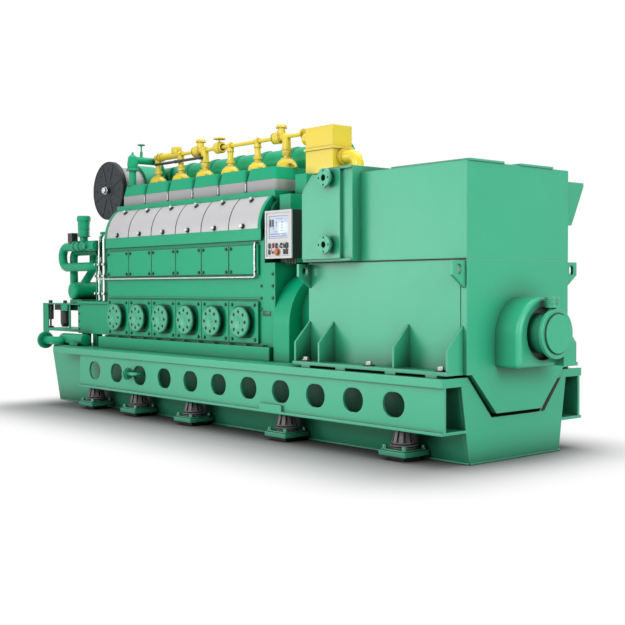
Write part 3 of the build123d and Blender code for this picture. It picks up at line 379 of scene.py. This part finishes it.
def lathe(bm, profile, centre, axis, sides=24):
    """Turn (radius, height) points about an axis through a centre."""
    x, y, z = frame_of(axis)
    turns = [2 * pi * i / sides for i in range(sides)]
    rings = []
    for radius, height in profile:
        middle = Vector(centre) + z * height
        if radius < 1e-6:
            rings.append([bm.verts.new(middle)])
        else:
            rings.append([bm.verts.new(middle + (x * cos(a) + y * sin(a)) * radius) for a in turns])
    for low, high in zip(rings, rings[1:]):
        for i in range(sides):
            j = (i + 1) % sides
            corners = [low[i % len(low)], low[j % len(low)], high[j % len(high)], high[i % len(high)]]
            unique = list(dict.fromkeys(corners))
            if len(unique) > 2:
                bm.faces.new(unique)


def rod(bm, centre, axis, radius, length, sides=20, chamfer=0.1):
    """Round bar from a centre along an axis, with its far end chamfered."""
    cut = min(radius, length) * chamfer
    profile = [(0, 0), (radius, 0), (radius, length - cut), (radius - cut, length), (0, length)]
    lathe(bm, profile, centre, axis, sides)


washer_spread = 0.72
washer_share = 0.15
washer_sunk = 0.001
head_shoulder = 0.85
head_narrowing = 0.86


def bolt(bm, centre, axis, width, washer=True, height=0.45):
    """Hexagon head on a washer, seated on its plate; its height is a share of its width."""
    z = Vector(axis).normalized()
    foot = Vector(centre)
    if washer:
        thickness = width * washer_share + washer_sunk
        rod(bm, foot - z * washer_sunk, axis, width * washer_spread, thickness, sides=18)
        foot = foot + z * width * washer_share
    radius = width / 2 / cos(pi / 6)
    top = width * height
    profile = [(0, 0), (radius, 0), (radius, top * head_shoulder), (radius * head_narrowing, top), (0, top)]
    lathe(bm, profile, foot, axis, sides=6)


def slab(bm, low, high, bevel):
    """Box between two corners with rounded edges."""
    size = [b - a for a, b in zip(low, high)]
    middle = [(a + b) / 2 for a, b in zip(low, high)]
    place = Matrix.Translation(middle) @ Matrix.Diagonal((*size, 1))
    made = bmesh.ops.create_cube(bm, size=1, matrix=place)
    if bevel:
        edges = list(dict.fromkeys(edge for vert in made["verts"] for edge in vert.link_edges))
        bmesh.ops.bevel(bm, geom=edges, offset=min(bevel, min(size) * 0.45), segments=2, profile=0.5,
                        affect="EDGES")


def rounded_route(points, bend, step=radians(12)):
    """Straight runs joined by arcs of the bend radius."""
    points = [Vector(p) for p in points]
    route = [points[0]]
    for before, corner, after in zip(points, points[1:], points[2:]):
        a = (before - corner).normalized()
        b = (after - corner).normalized()
        half = a.angle(b) / 2
        if pi / 2 - half < 0.02:
            route.append(corner)
            continue
        reach = min(bend / tan(half), (before - corner).length * 0.49, (after - corner).length * 0.49)
        radius = reach * tan(half)
        centre = corner + (a + b).normalized() * (radius / sin(half))
        start = corner + a * reach - centre
        end = corner + b * reach - centre
        sweep = start.angle(end)
        count = max(2, int(sweep / step) + 1)
        for i in range(count + 1):
            t = i / count
            route.append(centre + (start * sin((1 - t) * sweep) + end * sin(t * sweep)) / sin(sweep))
    route.append(points[-1])
    return route


def tube(bm, points, radius, bend=0.05, sides=12):
    """Round tube along rounded straight runs, closed at both ends."""
    route = rounded_route(points, bend)
    directions = [(b - a).normalized() for a, b in zip(route, route[1:])]
    side = directions[0].orthogonal().normalized()
    turns = [2 * pi * k / sides for k in range(sides)]
    rings = []
    for i, point in enumerate(route):
        before = directions[max(0, i - 1)]
        after = directions[min(i, len(directions) - 1)]
        along = (before + after).normalized()
        side = (side - along * side.dot(along)).normalized()
        other = along.cross(side)
        rings.append([bm.verts.new(point + (side * cos(a) + other * sin(a)) * radius) for a in turns])
    for low, high in zip(rings, rings[1:]):
        for k in range(sides):
            bm.faces.new((low[k], low[(k + 1) % sides], high[(k + 1) % sides], high[k]))
    bm.faces.new(rings[0][::-1])
    bm.faces.new(rings[-1])


def ring(bm, centre, axis, radius, thickness, sides=36):
    """Round wire bent to a ring about an axis."""
    steps = 8
    profile = [(radius + thickness * cos(2 * pi * k / steps), thickness * sin(2 * pi * k / steps))
               for k in range(steps + 1)]
    lathe(bm, profile, centre, axis, sides)


def prism(bm, outline, place, depth):
    """Flat outline carried to 3-D by a function and pushed along a vector."""
    rings = [[bm.verts.new(Vector(place(*point)) + Vector(depth) * share) for point in outline]
             for share in (0, 1)]
    count = len(outline)
    for i in range(count):
        j = (i + 1) % count
        bm.faces.new((rings[0][i], rings[0][j], rings[1][j], rings[1][i]))
    bm.faces.new(rings[0][::-1])
    bm.faces.new(rings[1])


def fin(bm, centre, angle, outline, width):
    """Plate of a (radius, height) outline that stands out from a vertical axis."""
    side = Vector((-sin(angle), cos(angle), 0)) * width
    foot = Vector(centre) - side / 2
    prism(bm, outline, lambda r, z: foot + Vector((cos(angle) * r, sin(angle) * r, z)), side)


def plate(bm, outline, near, far):
    """Plate of an (x, z) outline between two values of y."""
    prism(bm, outline, lambda x, z: (x, near, z), (0, far - near, 0))


def ring_spots(centre, axis, radius, count, start=0.0):
    """Places spread evenly round an axis."""
    x, y, z = frame_of(axis)
    turns = [start + 2 * pi * i / count for i in range(count)]
    return [Vector(centre) + (x * cos(a) + y * sin(a)) * radius for a in turns]


def side_spans(inner, outer):
    """Spans of y on the near and the far side, each from its lower value."""
    return [sorted((side * inner, side * outer)) for side in sides]


def finish_piece(name, bm, material, body):
    """Smooth piece with sharp creases that rides a body."""
    bmesh.ops.recalc_face_normals(bm, faces=bm.faces)
    mesh = bpy.data.meshes.new(name)
    bm.to_mesh(mesh)
    bm.free()
    mesh.polygons.foreach_set("use_smooth", [True] * len(mesh.polygons))
    mesh.set_sharp_from_angle(angle=radians(32))
    mesh.materials.append(materials[material])
    piece = bpy.data.objects.new(name, mesh)
    scene.collection.objects.link(piece)
    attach(piece, body)


@contextmanager
def mesh_piece(name, material, slot, body="set"):
    """Open mesh that becomes a named piece on leaving the block."""
    bm = bmesh.new()
    yield bm
    finish_piece(name, bm, material, body)


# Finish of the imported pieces
slots = {row["node"]: row["material_slot"] for row in frame["record"]["subparts"]}
for name, node in nodes.items():
    node.data.materials.clear()
    node.data.materials.append(materials[slots[name]])
# Painted highlight: the relief valves take the lighter frame paint instead of their doors' engine paint
nodes["relief_valves"].data.materials[0] = materials["paint_frame"]

fine_bevel = 0.003

# Mounts: foot bolts, upper plates, rings and ribs of the bells
mounts = [(x, side * mount_y) for x in mount_x for side in sides]
pad_half = 0.132
pad_thickness = 0.012
pad_top = foot_top + pad_thickness
foot_bolt_width = 0.034
with mesh_piece("mount_pads", "paint_frame", "paint_frame") as bm:
    for x, y in mounts:
        slab(bm, (x - pad_half, y - pad_half, foot_top), (x + pad_half, y + pad_half, pad_top), fine_bevel)
with mesh_piece("foot_bolts", "paint_frame", "paint_frame") as bm:
    for x, y in mounts:
        for dx in (-0.5, 0.5):
            for dy in (-0.5, 0.5):
                spot = (x + dx * foot_bolt_spacing, y + dy * foot_bolt_spacing, pad_top)
                bolt(bm, spot, upward, foot_bolt_width, height=0.75)
rib_count = 10
rib_turn = 0.35
rib_width = 0.034
rib_outline = [(0.070, 0.058), (0.101, 0.058), (0.096, 0.076), (0.075, 0.160), (0.050, 0.160)]
bell_rings = [(0.106, 0.016), (0.112, 0.036), (0.103, 0.056)]
ring_height = 0.011
with mesh_piece("mount_bells", "mount_casting", "rubber") as bm:
    for x, y in mounts:
        for radius, height in bell_rings:
            rod(bm, (x, y, foot_top + height), upward, radius, ring_height, sides=32, chamfer=0.3)
        for k in range(rib_count):
            fin(bm, (x, y, foot_top), 2 * pi * (k + rib_turn) / rib_count, rib_outline, rib_width)

# Frame: lips along the trough
trough_foot_half = 0.577
lip_width = 0.018
lip_height = 0.016
trough_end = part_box("base_trough")[1].x
end_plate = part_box("trough_ends")[1].x
lip_end = end_plate + lip_width
with mesh_piece("trough_lips", "paint_frame", "paint_frame") as bm:
    for near, far in side_spans(trough_foot_half, trough_foot_half + lip_width):
        slab(bm, (-trough_end, near, 0), (end_plate, far, lip_height), fine_bevel)
    slab(bm, (end_plate, -trough_foot_half, 0), (lip_end, trough_foot_half, lip_height), fine_bevel)

# Crankcase doors: corner bolts, holes and hubs of the relief valves, and the ledge above
doors_low, doors_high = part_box("crankcase_doors")
valves_low, valves_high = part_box("relief_valves")
valve_height = (valves_low.z + valves_high.z) / 2
valve_faces = ((-1, valves_low.y), (1, valves_high.y))
door_bolt_width = 0.026
door_bolt_reach = cover_width / 2 - 0.050
door_bolt_inset = 0.034
with mesh_piece("door_bolts", "bolt_green", "paint_green") as bm:
    for x in cylinders:
        for dx in sides:
            spot = x + dx * door_bolt_reach
            for z in (doors_low.z + door_bolt_inset, doors_high.z - door_bolt_inset):
                bolt(bm, (spot, doors_low.y, z), nearward, door_bolt_width)
                bolt(bm, (spot, doors_high.y, z), farward, door_bolt_width)
hole_circle = 0.104
hole_radius = 0.0175
hole_sunk = 0.002
# Painted shade: near-black discs for the shade inside the blind holes of the relief valves
with mesh_piece("relief_hole_shade", "joint_black_and_shade", "paint_green") as bm:
    for x in cylinders:
        for side, face in valve_faces:
            for spot in ring_spots((x, face, valve_height), (0, side, 0), hole_circle, 8):
                foot = spot - Vector((0, side * hole_sunk, 0))
                rod(bm, foot, (0, side, 0), hole_radius, length=0.003)
hub_radius = 0.017
hub_sunk = 0.013
valve_rings = (0.074, 0.136)
ring_sunk = 0.0015
ring_wire = 0.0035
with mesh_piece("relief_hubs", "paint_frame", "paint_green") as bm:
    for x in cylinders:
        for side, face in valve_faces:
            hub_foot = (x, face - side * hub_sunk, valve_height)
            rod(bm, hub_foot, (0, side, 0), hub_radius, length=0.008, chamfer=0.4)
            for radius in valve_rings:
                ring(bm, (x, face - side * ring_sunk, valve_height), (0, side, 0), radius, ring_wire)
ledge_depth = 0.012
ledge_bottom = doors_high.z + 0.022
ledge_top = doors_high.z + 0.036
ledge_overhang = 0.02
with mesh_piece("side_ledges", "paint_green", "paint_green") as bm:
    for near, far in side_spans(block_half, block_half + ledge_depth):
        slab(bm, (doors_low.x - ledge_overhang, near, ledge_bottom),
             (doors_high.x + ledge_overhang, far, ledge_top), fine_bevel)

# Camshaft covers: bolts at the corners
cam_low, cam_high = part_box("camshaft_covers")
cam_bolt_reach = cover_width / 2 - 0.034
cam_bolt_inset = 0.030
with mesh_piece("cam_cover_bolts", "bolt_green", "paint_green") as bm:
    for x in cylinders:
        for dx in sides:
            for z in (cam_low.z + cam_bolt_inset, cam_high.z - cam_bolt_inset):
                bolt(bm, (x + dx * cam_bolt_reach, cam_low.y, z), nearward, width=0.024, height=0.6)

# Engine block: bolts and a small bare plate at its end, and the bolts of the rails
block_bolt_rows = ((0.690, (1.191, 1.298, 1.415)), (0.866, (1.300, 1.415, 1.530)))
bare_plate = ((0.715, 1.126), (0.835, 1.172))
bare_plate_depth = 0.006
with mesh_piece("block_bolts", "bolt_green", "paint_green") as bm:
    for x, heights in block_bolt_rows:
        for z in heights:
            bolt(bm, (x, -block_half, z), nearward, width=0.022)
    (left, bottom), (right, top) = bare_plate
    slab(bm, (left, -block_half - bare_plate_depth, bottom), (right, -block_half, top), bevel=0.002)
rails_low, rails_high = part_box("engine_rails")
rail_bolts = 12
rail_step = (rails_high.x - rails_low.x) / rail_bolts
rail_bolt_y = 0.570
with mesh_piece("rail_bolts", "bolt_green", "paint_green") as bm:
    for k in range(rail_bolts):
        for side in sides:
            spot = (rails_low.x + rail_step * (k + 0.5), side * rail_bolt_y, rails_high.z)
            bolt(bm, spot, upward, width=0.032)

# Alternator: foot bolts on dark washers
foot_bolt_x = (1.645, 2.456, 3.265)
foot_bolt_y = 0.790
washer_radius = 0.050
washer_height = 0.010
with mesh_piece("alternator_washers", "black_plastic", "black_plastic") as bm:
    for x in foot_bolt_x:
        for side in sides:
            rod(bm, (x, side * foot_bolt_y, foot_plate_top), upward, washer_radius, washer_height, sides=24)
with mesh_piece("alternator_foot_bolts", "bright_steel", "bright_steel") as bm:
    for x in foot_bolt_x:
        for side in sides:
            spot = (x, side * foot_bolt_y, foot_plate_top + washer_height)
            bolt(bm, spot, upward, width=0.046, height=0.5)

# Alternator: raised plates of the cooler box
cooler_low, cooler_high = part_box("cooler_box")
plate_depth = 0.030
plate_right = 2.087
strip_height = 0.020
strip_bottoms = (cooler_low.z + 0.004, cooler_high.z - 0.024)
plate_outline = [(1.585, 1.650), (plate_right, 1.650), (plate_right, 2.432), (1.850, 2.432), (1.722, 2.350),
                 (1.585, 2.235)]
plate_near = cooler_low.y - plate_depth
plate_far = cooler_high.y + plate_depth
with mesh_piece("cooler_plates", "paint_frame", "paint_frame") as bm:
    plate(bm, plate_outline, plate_near, cooler_low.y)
    plate(bm, plate_outline, cooler_high.y, plate_far)
    for z in strip_bottoms:
        top = z + strip_height
        slab(bm, (plate_right, plate_near, z), (cooler_high.x, cooler_low.y, top), fine_bevel)
        slab(bm, (plate_right, cooler_high.y, z), (cooler_high.x, plate_far, top), fine_bevel)

# Alternator: a dark strip for the seam of its casing, and painted shade on the tray slopes and end plate
seam_z = 1.627
seam_half = 0.650
seam_lip = 0.007
seam_sunk = 0.004
seam_bottom = seam_z - 0.009
seam_top = seam_z - 0.001
seam_ends = (1.530, 3.3995)
with mesh_piece("casing_seam", "joint_black_and_shade", "paint_frame") as bm:
    for near, far in side_spans(seam_half - seam_sunk, seam_half + seam_lip):
        slab(bm, (seam_ends[0], near, seam_bottom), (seam_ends[1], far, seam_top), bevel=0)
tray_strip = [(0.312, 0.3575), (0.5395, 0.6225), (0.5355, 0.6225), (0.308, 0.3575)]
tray_strip_start = 3.250
tray_strip_length = 0.116
end_strip = [(0.322, 0.3575), (0.372, 0.3575), (0.600, 0.6225), (0.550, 0.6225)]
end_strip_depth = 0.002
# Painted shade: near-black strips where the gap between tray and end plate falls in shadow
with mesh_piece("tray_gap_shade", "joint_black_and_shade", "rubber") as bm:
    for side in sides:
        prism(bm, tray_strip, lambda y, z: (tray_strip_start, side * y, z), (tray_strip_length, 0, 0))
    prism(bm, end_strip, lambda y, z: (end_plate, y, z), (end_strip_depth, 0, 0))

# Alternator: rings of the filler cap
filler_x = 3.728
filler_bottom = 1.262
filler_step = 0.016
with mesh_piece("filler_rings", "paint_frame", "paint_frame") as bm:
    for k in range(4):
        ring(bm, (filler_x, 0, filler_bottom + filler_step * k), upward, radius=0.0565, thickness=0.0035)

# Curved hood: dark washers under the cover knobs and a dark ring up each, also painted shade for the knobs'
# shaded side
hood_centre_y = -0.14746
hood_centre_z = 1.977
hood_radius = 0.41854
knob_turns = (radians(4), radians(43.5))
with mesh_piece("knob_washers_and_shade", "black_plastic", "black_plastic") as bm:
    for x in cylinders:
        for turn in knob_turns:
            out = Vector((0, -cos(turn), sin(turn)))
            foot = Vector((x, hood_centre_y, hood_centre_z)) + out * hood_radius
            rod(bm, foot - out * 0.002, out, radius=0.027, length=0.009, sides=24)
            rod(bm, foot + out * 0.012, out, radius=0.021, length=0.006, sides=24)

# Curved hood: dark strips in the joints between the covers
hood_low, hood_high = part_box("hood_covers")
joint_width = 0.011
joint_proud = 0.0015
joint_sunk = 0.008
arc_steps = 14
arc_from = asin((hood_low.z - hood_centre_z) / hood_radius)
arc_to = asin((hood_high.z - hood_centre_z) / hood_radius)
arc = [arc_from + (arc_to - arc_from) * k / arc_steps for k in range(arc_steps + 1)]
band = [(hood_radius + joint_proud, a) for a in arc] + [(hood_radius - joint_sunk, a) for a in reversed(arc)]
with mesh_piece("hood_joints", "joint_black_and_shade", "rubber") as bm:
    for x in cylinders[1:]:
        left = x - pitch / 2 - joint_width / 2
        prism(bm, band, lambda r, a: (left, hood_centre_y - r * cos(a), hood_centre_z + r * sin(a)),
              (joint_width, 0, 0))

# Cylinder heads: posts in the joints, in a lighter grey than the heads as a painted highlight
heads_low, heads_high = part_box("cylinder_heads")
post_radius = 0.011
post_sunk = 0.006
post_inset = 0.02
with mesh_piece("head_highlight_posts", "panel_front", "paint_grey") as bm:
    for x in cylinders[1:]:
        rod(bm, (x - pitch / 2, heads_low.y + post_sunk, heads_low.z + post_inset), upward, post_radius,
            heads_high.z - heads_low.z - 2 * post_inset, sides=16)

# Air silencer: ribs, small screws and the hub nut
silencer = Vector((-2.550, -0.350, 2.572))
silencer_radius = 0.350
spoke_count = 8
spoke_from = 0.100
spoke_to = 0.325
spoke_half = 0.005
spoke_depth = 0.005
screw_circle = 0.255
hoops = (0.095, silencer_radius - 0.012)
with mesh_piece("silencer_ribs", "silencer_rib", "dark_steel") as bm:
    for k in range(spoke_count):
        turn = pi / spoke_count + k * pi / 4
        out = Vector((cos(turn), 0, sin(turn)))
        across = Vector((-sin(turn), 0, cos(turn))) * spoke_half
        corners = ((spoke_from, -1), (spoke_to, -1), (spoke_to, 1), (spoke_from, 1))
        ends = [silencer + out * r + across * s for r, s in corners]
        plate(bm, [(p.x, p.z) for p in ends], silencer.y - spoke_depth, silencer.y)
    for radius in hoops:
        ring(bm, silencer, nearward, radius, thickness=0.006, sides=64)
    for spot in ring_spots(silencer, nearward, screw_circle, spoke_count):
        rod(bm, spot, nearward, radius=0.011, length=0.006, sides=12)
hub_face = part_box("silencer_face")[0].y
with mesh_piece("silencer_nut", "bright_steel", "bright_steel") as bm:
    bolt(bm, (silencer.x, hub_face, silencer.z), nearward, width=0.066)

# Gas inlets: flange with its bolts, dome, collars and the small branch pipe
rocker_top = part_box("rocker_hoods")[1].z
flange_radius = 0.118
flange_height = 0.014
flange_circle = 0.112
dome_top = 0.104
dome_profile = [(0.107, 0.010), (0.105, 0.045), (0.092, 0.080), (0.066, dome_top), (0, dome_top)]
nut_bottom = 0.150
branch_route = ((0.075, -0.040, 2.660), (0.150, -0.050, 2.655), (0.200, -0.050, 2.625),
                (0.215, -0.050, 2.603))
with mesh_piece("gas_cone_flanges", "paint_yellow", "paint_yellow") as bm:
    for x in cylinders:
        rod(bm, (x, 0, rocker_top), upward, flange_radius, flange_height, sides=40)
        for spot in ring_spots((x, 0, rocker_top + flange_height), upward, flange_circle, 8, pi / 8):
            rod(bm, spot - Vector((0, 0, 0.002)), upward, radius=0.010, length=0.012, sides=6)
        lathe(bm, dome_profile, (x, 0, rocker_top), upward, sides=40)
        rod(bm, (x, 0, rocker_top + dome_top), upward, radius=0.062, length=0.014, sides=32)
        rod(bm, (x, 0, rocker_top + nut_bottom), upward, radius=0.046, length=0.030, sides=6)
        tube(bm, [(x + dx, y, z) for dx, y, z in branch_route], radius=0.014, bend=0.03)

# Gas valves: bonnet with its bolts, end flanges and elbow, then unions, flanges and a block on the rail
rail_z = 2.940
valve_spots = (-1.132, 0.308)
bonnet_offset = 0.040
bonnet_z = 3.036
cap_profile = [(0.056, 0), (0.056, 0.010), (0.042, 0.024), (0, 0.030)]
elbow_offset = 0.120
elbow_bottom = 2.770
elbow_collar_z = 2.800
union_half = 0.020
rail_flanges = (-1.955, -1.900, 0.690)
rail_block = ((-1.640, -0.040, 2.958), (-1.530, 0.040, 3.030))


def rail_flange(bm, x, radius, thickness, circle, bolt_radius, bolt_start, sides):
    """Flange across the gas rail with six bolts through it."""
    rod(bm, (x, 0, rail_z), lengthwise, radius, thickness, sides)
    for spot in ring_spots((x - bolt_start, 0, rail_z), lengthwise, circle, 6):
        rod(bm, spot, lengthwise, bolt_radius, length=0.018, sides=6)


with mesh_piece("gas_valve_parts", "paint_yellow", "paint_yellow") as bm:
    for x in valve_spots:
        bonnet = x + bonnet_offset
        rod(bm, (bonnet, 0, rail_z + 0.02), upward, radius=0.044, length=0.085, sides=28)
        rod(bm, (bonnet, 0, bonnet_z), upward, radius=0.058, length=0.012, sides=32)
        lathe(bm, cap_profile, (bonnet, 0, bonnet_z + 0.012), upward, sides=32)
        for spot in ring_spots((bonnet, 0, bonnet_z - 0.006), upward, radius=0.052, count=8):
            rod(bm, spot, upward, radius=0.007, length=0.024, sides=6)
        for dx in (-0.075, -0.055):
            rail_flange(bm, x + dx, radius=0.061, thickness=0.010, circle=0.050, bolt_radius=0.008,
                        bolt_start=0.004, sides=32)
        elbow = x + elbow_offset
        tube(bm, [(x + 0.02, 0, rail_z), (elbow, 0, rail_z), (elbow, 0, elbow_bottom)], radius=0.047,
             bend=0.06, sides=20)
        rod(bm, (elbow, 0, elbow_collar_z), upward, radius=0.056, length=0.014, sides=28)
    for x in cylinders[1:5]:
        rod(bm, (x - union_half, 0, rail_z), lengthwise, radius=0.043, length=2 * union_half, sides=6)
    for x in rail_flanges:
        rail_flange(bm, x, radius=0.052, thickness=0.012, circle=0.043, bolt_radius=0.006,
                    bolt_start=0.003, sides=28)
    slab(bm, *rail_block, bevel=0.006)

# Gas rail: thick at its first part and thin beyond it, with a socket at each cylinder
rail_start = -2.016
thick_length = 0.500
thick_radius = 0.040
thin_start = -1.520
thin_radius = 0.0205
rail_end = 0.730
socket_z = 2.874
neck_z = 2.905
with mesh_piece("gas_rail_pipe", "paint_yellow", "paint_yellow") as bm:
    rod(bm, (rail_start, 0, rail_z), lengthwise, thick_radius, thick_length, sides=28)
    tube(bm, [(thin_start, 0, rail_z), (rail_end, 0, rail_z)], thin_radius, sides=20)
    for x in cylinders:
        rod(bm, (x, 0, socket_z), upward, radius=0.043, length=0.048, sides=28, chamfer=0.3)
        rod(bm, (x, 0, neck_z), upward, radius=0.030, length=0.045, sides=24, chamfer=0.4)
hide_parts("gas_rail")

# Pilot line from the first cylinder to the third, with a nut and a stub at the second and the third
pilot_y = -0.073
pilot_z = 2.850
pilot_ends = (-1.912, -0.980)
pilot_radius = 0.016
nut_half = 0.018
with mesh_piece("pilot_line", "black_plastic", "black_plastic") as bm:
    tube(bm, [(x, pilot_y, pilot_z) for x in pilot_ends], pilot_radius, sides=16)
    for x in cylinders[1:3]:
        rod(bm, (x, pilot_y, pilot_z), farward, radius=0.009, length=0.040, sides=12)
        rod(bm, (x - nut_half, pilot_y, pilot_z), lengthwise, radius=0.021, length=2 * nut_half, sides=6)
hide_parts("pilot_pipe")

# Gas unit: bolts of its joint and of the elbow's flange
unit_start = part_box("gas_unit")[0].x
first_bolt_x = unit_start + 0.19
unit_bolt_step = 0.07
unit_bolt_y = 0.130
unit_joint_z = 2.753
elbow_flange = (1.294, 0, 2.655)
with mesh_piece("gas_unit_bolts", "paint_yellow", "paint_yellow") as bm:
    for k in range(5):
        for side in sides:
            spot = (first_bolt_x + unit_bolt_step * k, side * unit_bolt_y, unit_joint_z)
            bolt(bm, spot, upward, width=0.014)
    for spot in ring_spots(elbow_flange, lengthwise, radius=0.064, count=6):
        bolt(bm, spot, lengthwise, width=0.018, washer=False)

# Exhaust manifold: rings of the bellows
bellows_offset = 0.215
bellows_step = 0.017
bellows_y = 0.350
bellows_z = 2.752
with mesh_piece("manifold_bellows", "paint_green", "paint_green") as bm:
    for x in cylinders[:-1]:
        for k in range(4):
            spot = (x + bellows_offset + bellows_step * k, bellows_y, bellows_z)
            ring(bm, spot, lengthwise, radius=0.127, thickness=0.009, sides=40)

# Bright oil pipes: clamps and the thin green line beside them
pipes_y = -0.480
clamp_heights = (1.331, 1.541, 1.680)
clamps = ((-2.452, -2.398, 0.030), (-2.568, -2.522, 0.024))
clamp_half = 0.014
bar_half = 0.009
bar_depth = 0.012
bar_ends = (-2.630, -2.400)
stud_x = -2.612
line_x = -2.600
line_y = pipes_y - 0.002
line_route = [(line_x, line_y, 1.236), (line_x, line_y, 1.760), (line_x, -0.385, 1.800)]
with mesh_piece("pipe_clamps", "bright_steel", "bright_steel") as bm:
    for z in clamp_heights:
        rod(bm, (stud_x, pipes_y - bar_depth, z), nearward, radius=0.016, length=0.018, sides=16)
    for z in clamp_heights:
        for left, right, reach in clamps:
            slab(bm, (left, pipes_y - reach, z - clamp_half), (right, pipes_y + reach, z + clamp_half),
                 bevel=0.004)
with mesh_piece("clamp_bars", "black_plastic", "black_plastic") as bm:
    for z in clamp_heights:
        slab(bm, (bar_ends[0], pipes_y - bar_depth, z - bar_half),
             (bar_ends[1], pipes_y + bar_depth, z + bar_half), fine_bevel)
with mesh_piece("control_line", "paint_green", "paint_green") as bm:
    tube(bm, line_route, radius=0.011, bend=0.04)

# Bolts of the pump's flange, the drain's flange and the pump housing
pump_flange = (-3.462, -0.720, 0.748)
drain_flange = (-1.122, -0.946, 0.474)
with mesh_piece("pump_flange_bolts", "paint_green", "paint_green") as bm:
    for spot in ring_spots(pump_flange, lengthwise, radius=0.083, count=8, start=pi / 8):
        bolt(bm, spot, lengthwise, width=0.020, washer=False)
with mesh_piece("drain_flange_bolts", "paint_frame", "paint_frame") as bm:
    for spot in ring_spots(drain_flange, lengthwise, radius=0.050, count=6):
        bolt(bm, spot, lengthwise, width=0.014, washer=False)
pump_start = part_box("pump_housing")[0].x
pump_bolt_width = 0.020
top_row = (pump_start + 0.06, -0.490, 1.235)
top_step = 0.12
front_row = (pump_start + 0.030, -0.480, 0.890)
front_step = 0.095
with mesh_piece("pump_cover_bolts", "bolt_green", "paint_green") as bm:
    x, y, z = top_row
    for k in range(7):
        bolt(bm, (x + top_step * k, y, z), upward, pump_bolt_width)
    x, y, z = front_row
    for k in range(4):
        bolt(bm, (x, y, z + front_step * k), nearward, pump_bolt_width)

# Control panel: screen, buttons and glands
panel_low, panel_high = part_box("panel_front")
field = panel_low.y + 0.006
screen_foot = panel_low.y + 0.012
screen_face = panel_low.y + 0.0096
mark_depth = 0.001
tall_mark = (0.028, 0.072)
small_mark = (0.018, 0.008)
button_depth = 0.010


def panel_slab(bm, left, top, width, height, depth, foot=field, bevel=0.002):
    """Slab by its distance from the panel's left and top edges."""
    x = panel_low.x + left
    z = panel_high.z - top
    slab(bm, (x, foot - depth, z - height), (x + width, foot, z), bevel)


with mesh_piece("panel_screen", "screen_glass", "panel_front") as bm:
    panel_slab(bm, left=0.058, top=0.058, width=0.282, height=0.204, depth=0.0025, foot=screen_foot)
with mesh_piece("screen_marks", "black_plastic", "black_plastic") as bm:
    for left in (0.062, 0.098):
        panel_slab(bm, left, 0.085, *tall_mark, mark_depth, screen_face, bevel=0)
    for left, tops in ((0.158, (0.112, 0.140)), (0.240, (0.112, 0.140, 0.163, 0.187)), (0.110, (0.170,))):
        for top in tops:
            panel_slab(bm, left, top, *small_mark, mark_depth, screen_face, bevel=0)
with mesh_piece("screen_bars", "screen_bar", "panel_front") as bm:
    for left, top, width, height in ((0.150, 0.076, 0.110, 0.006), (0.075, 0.220, 0.240, 0.011),
                                     (0.075, 0.242, 0.240, 0.009), (0.110, 0.200, 0.070, 0.006)):
        panel_slab(bm, left, top, width, height, mark_depth, screen_face, bevel=0)
row_one = 0.312
row_two = 0.370
button = (0.028, 0.048)
black_rows = ((row_one, (0.052, 0.158, 0.232, 0.282, 0.318)), (row_two, (0.050, 0.275, 0.312)))
with mesh_piece("panel_buttons_black", "black_plastic", "black_plastic") as bm:
    for top, lefts in black_rows:
        for left in lefts:
            panel_slab(bm, left, top, *button, button_depth, bevel=fine_bevel)
with mesh_piece("panel_buttons_red", "button_red", "panel_front") as bm:
    panel_slab(bm, 0.108, row_one, 0.028, 0.044, button_depth, bevel=fine_bevel)
    panel_slab(bm, 0.104, row_two + 0.016, 0.022, 0.026, button_depth, bevel=fine_bevel)
small_button = (0.016, 0.016)
small_button_depth = 0.012
with mesh_piece("panel_buttons_white", "button_white", "panel_front") as bm:
    for left, top in ((0.200, row_one + 0.022), (0.260, row_one + 0.022), (0.082, row_two - 0.006),
                      (0.300, row_one - 0.006), (0.302, row_two - 0.010)):
        panel_slab(bm, left, top, *small_button, small_button_depth, bevel=fine_bevel)
stop_x = panel_low.x + 0.188
stop_z = panel_high.z - 0.396
stop_profile = [(0.018, 0), (0.018, 0.012), (0.029, 0.014), (0.029, 0.020), (0.022, 0.027), (0, 0.029)]
with mesh_piece("panel_stop_button", "button_orange", "panel_front") as bm:
    lathe(bm, stop_profile, (stop_x, field, stop_z), nearward, sides=32)
with mesh_piece("panel_stop_ring", "button_yellow", "paint_yellow") as bm:
    rod(bm, (stop_x, field + 0.001, stop_z), nearward, radius=0.035, length=0.004, sides=32)
case_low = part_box("control_panel")[0]
first_gland_x = case_low.x + 0.250
gland_step = 0.042
gland_y = -0.500
gland_length = 0.030
with mesh_piece("panel_glands", "black_plastic", "black_plastic") as bm:
    for k in range(4):
        x = first_gland_x + gland_step * k
        rod(bm, (x, gland_y, case_low.z), downward, radius=0.014, length=gland_length, sides=6)
        rod(bm, (x, gland_y, case_low.z - gland_length), downward, radius=0.011, length=0.024, sides=16)
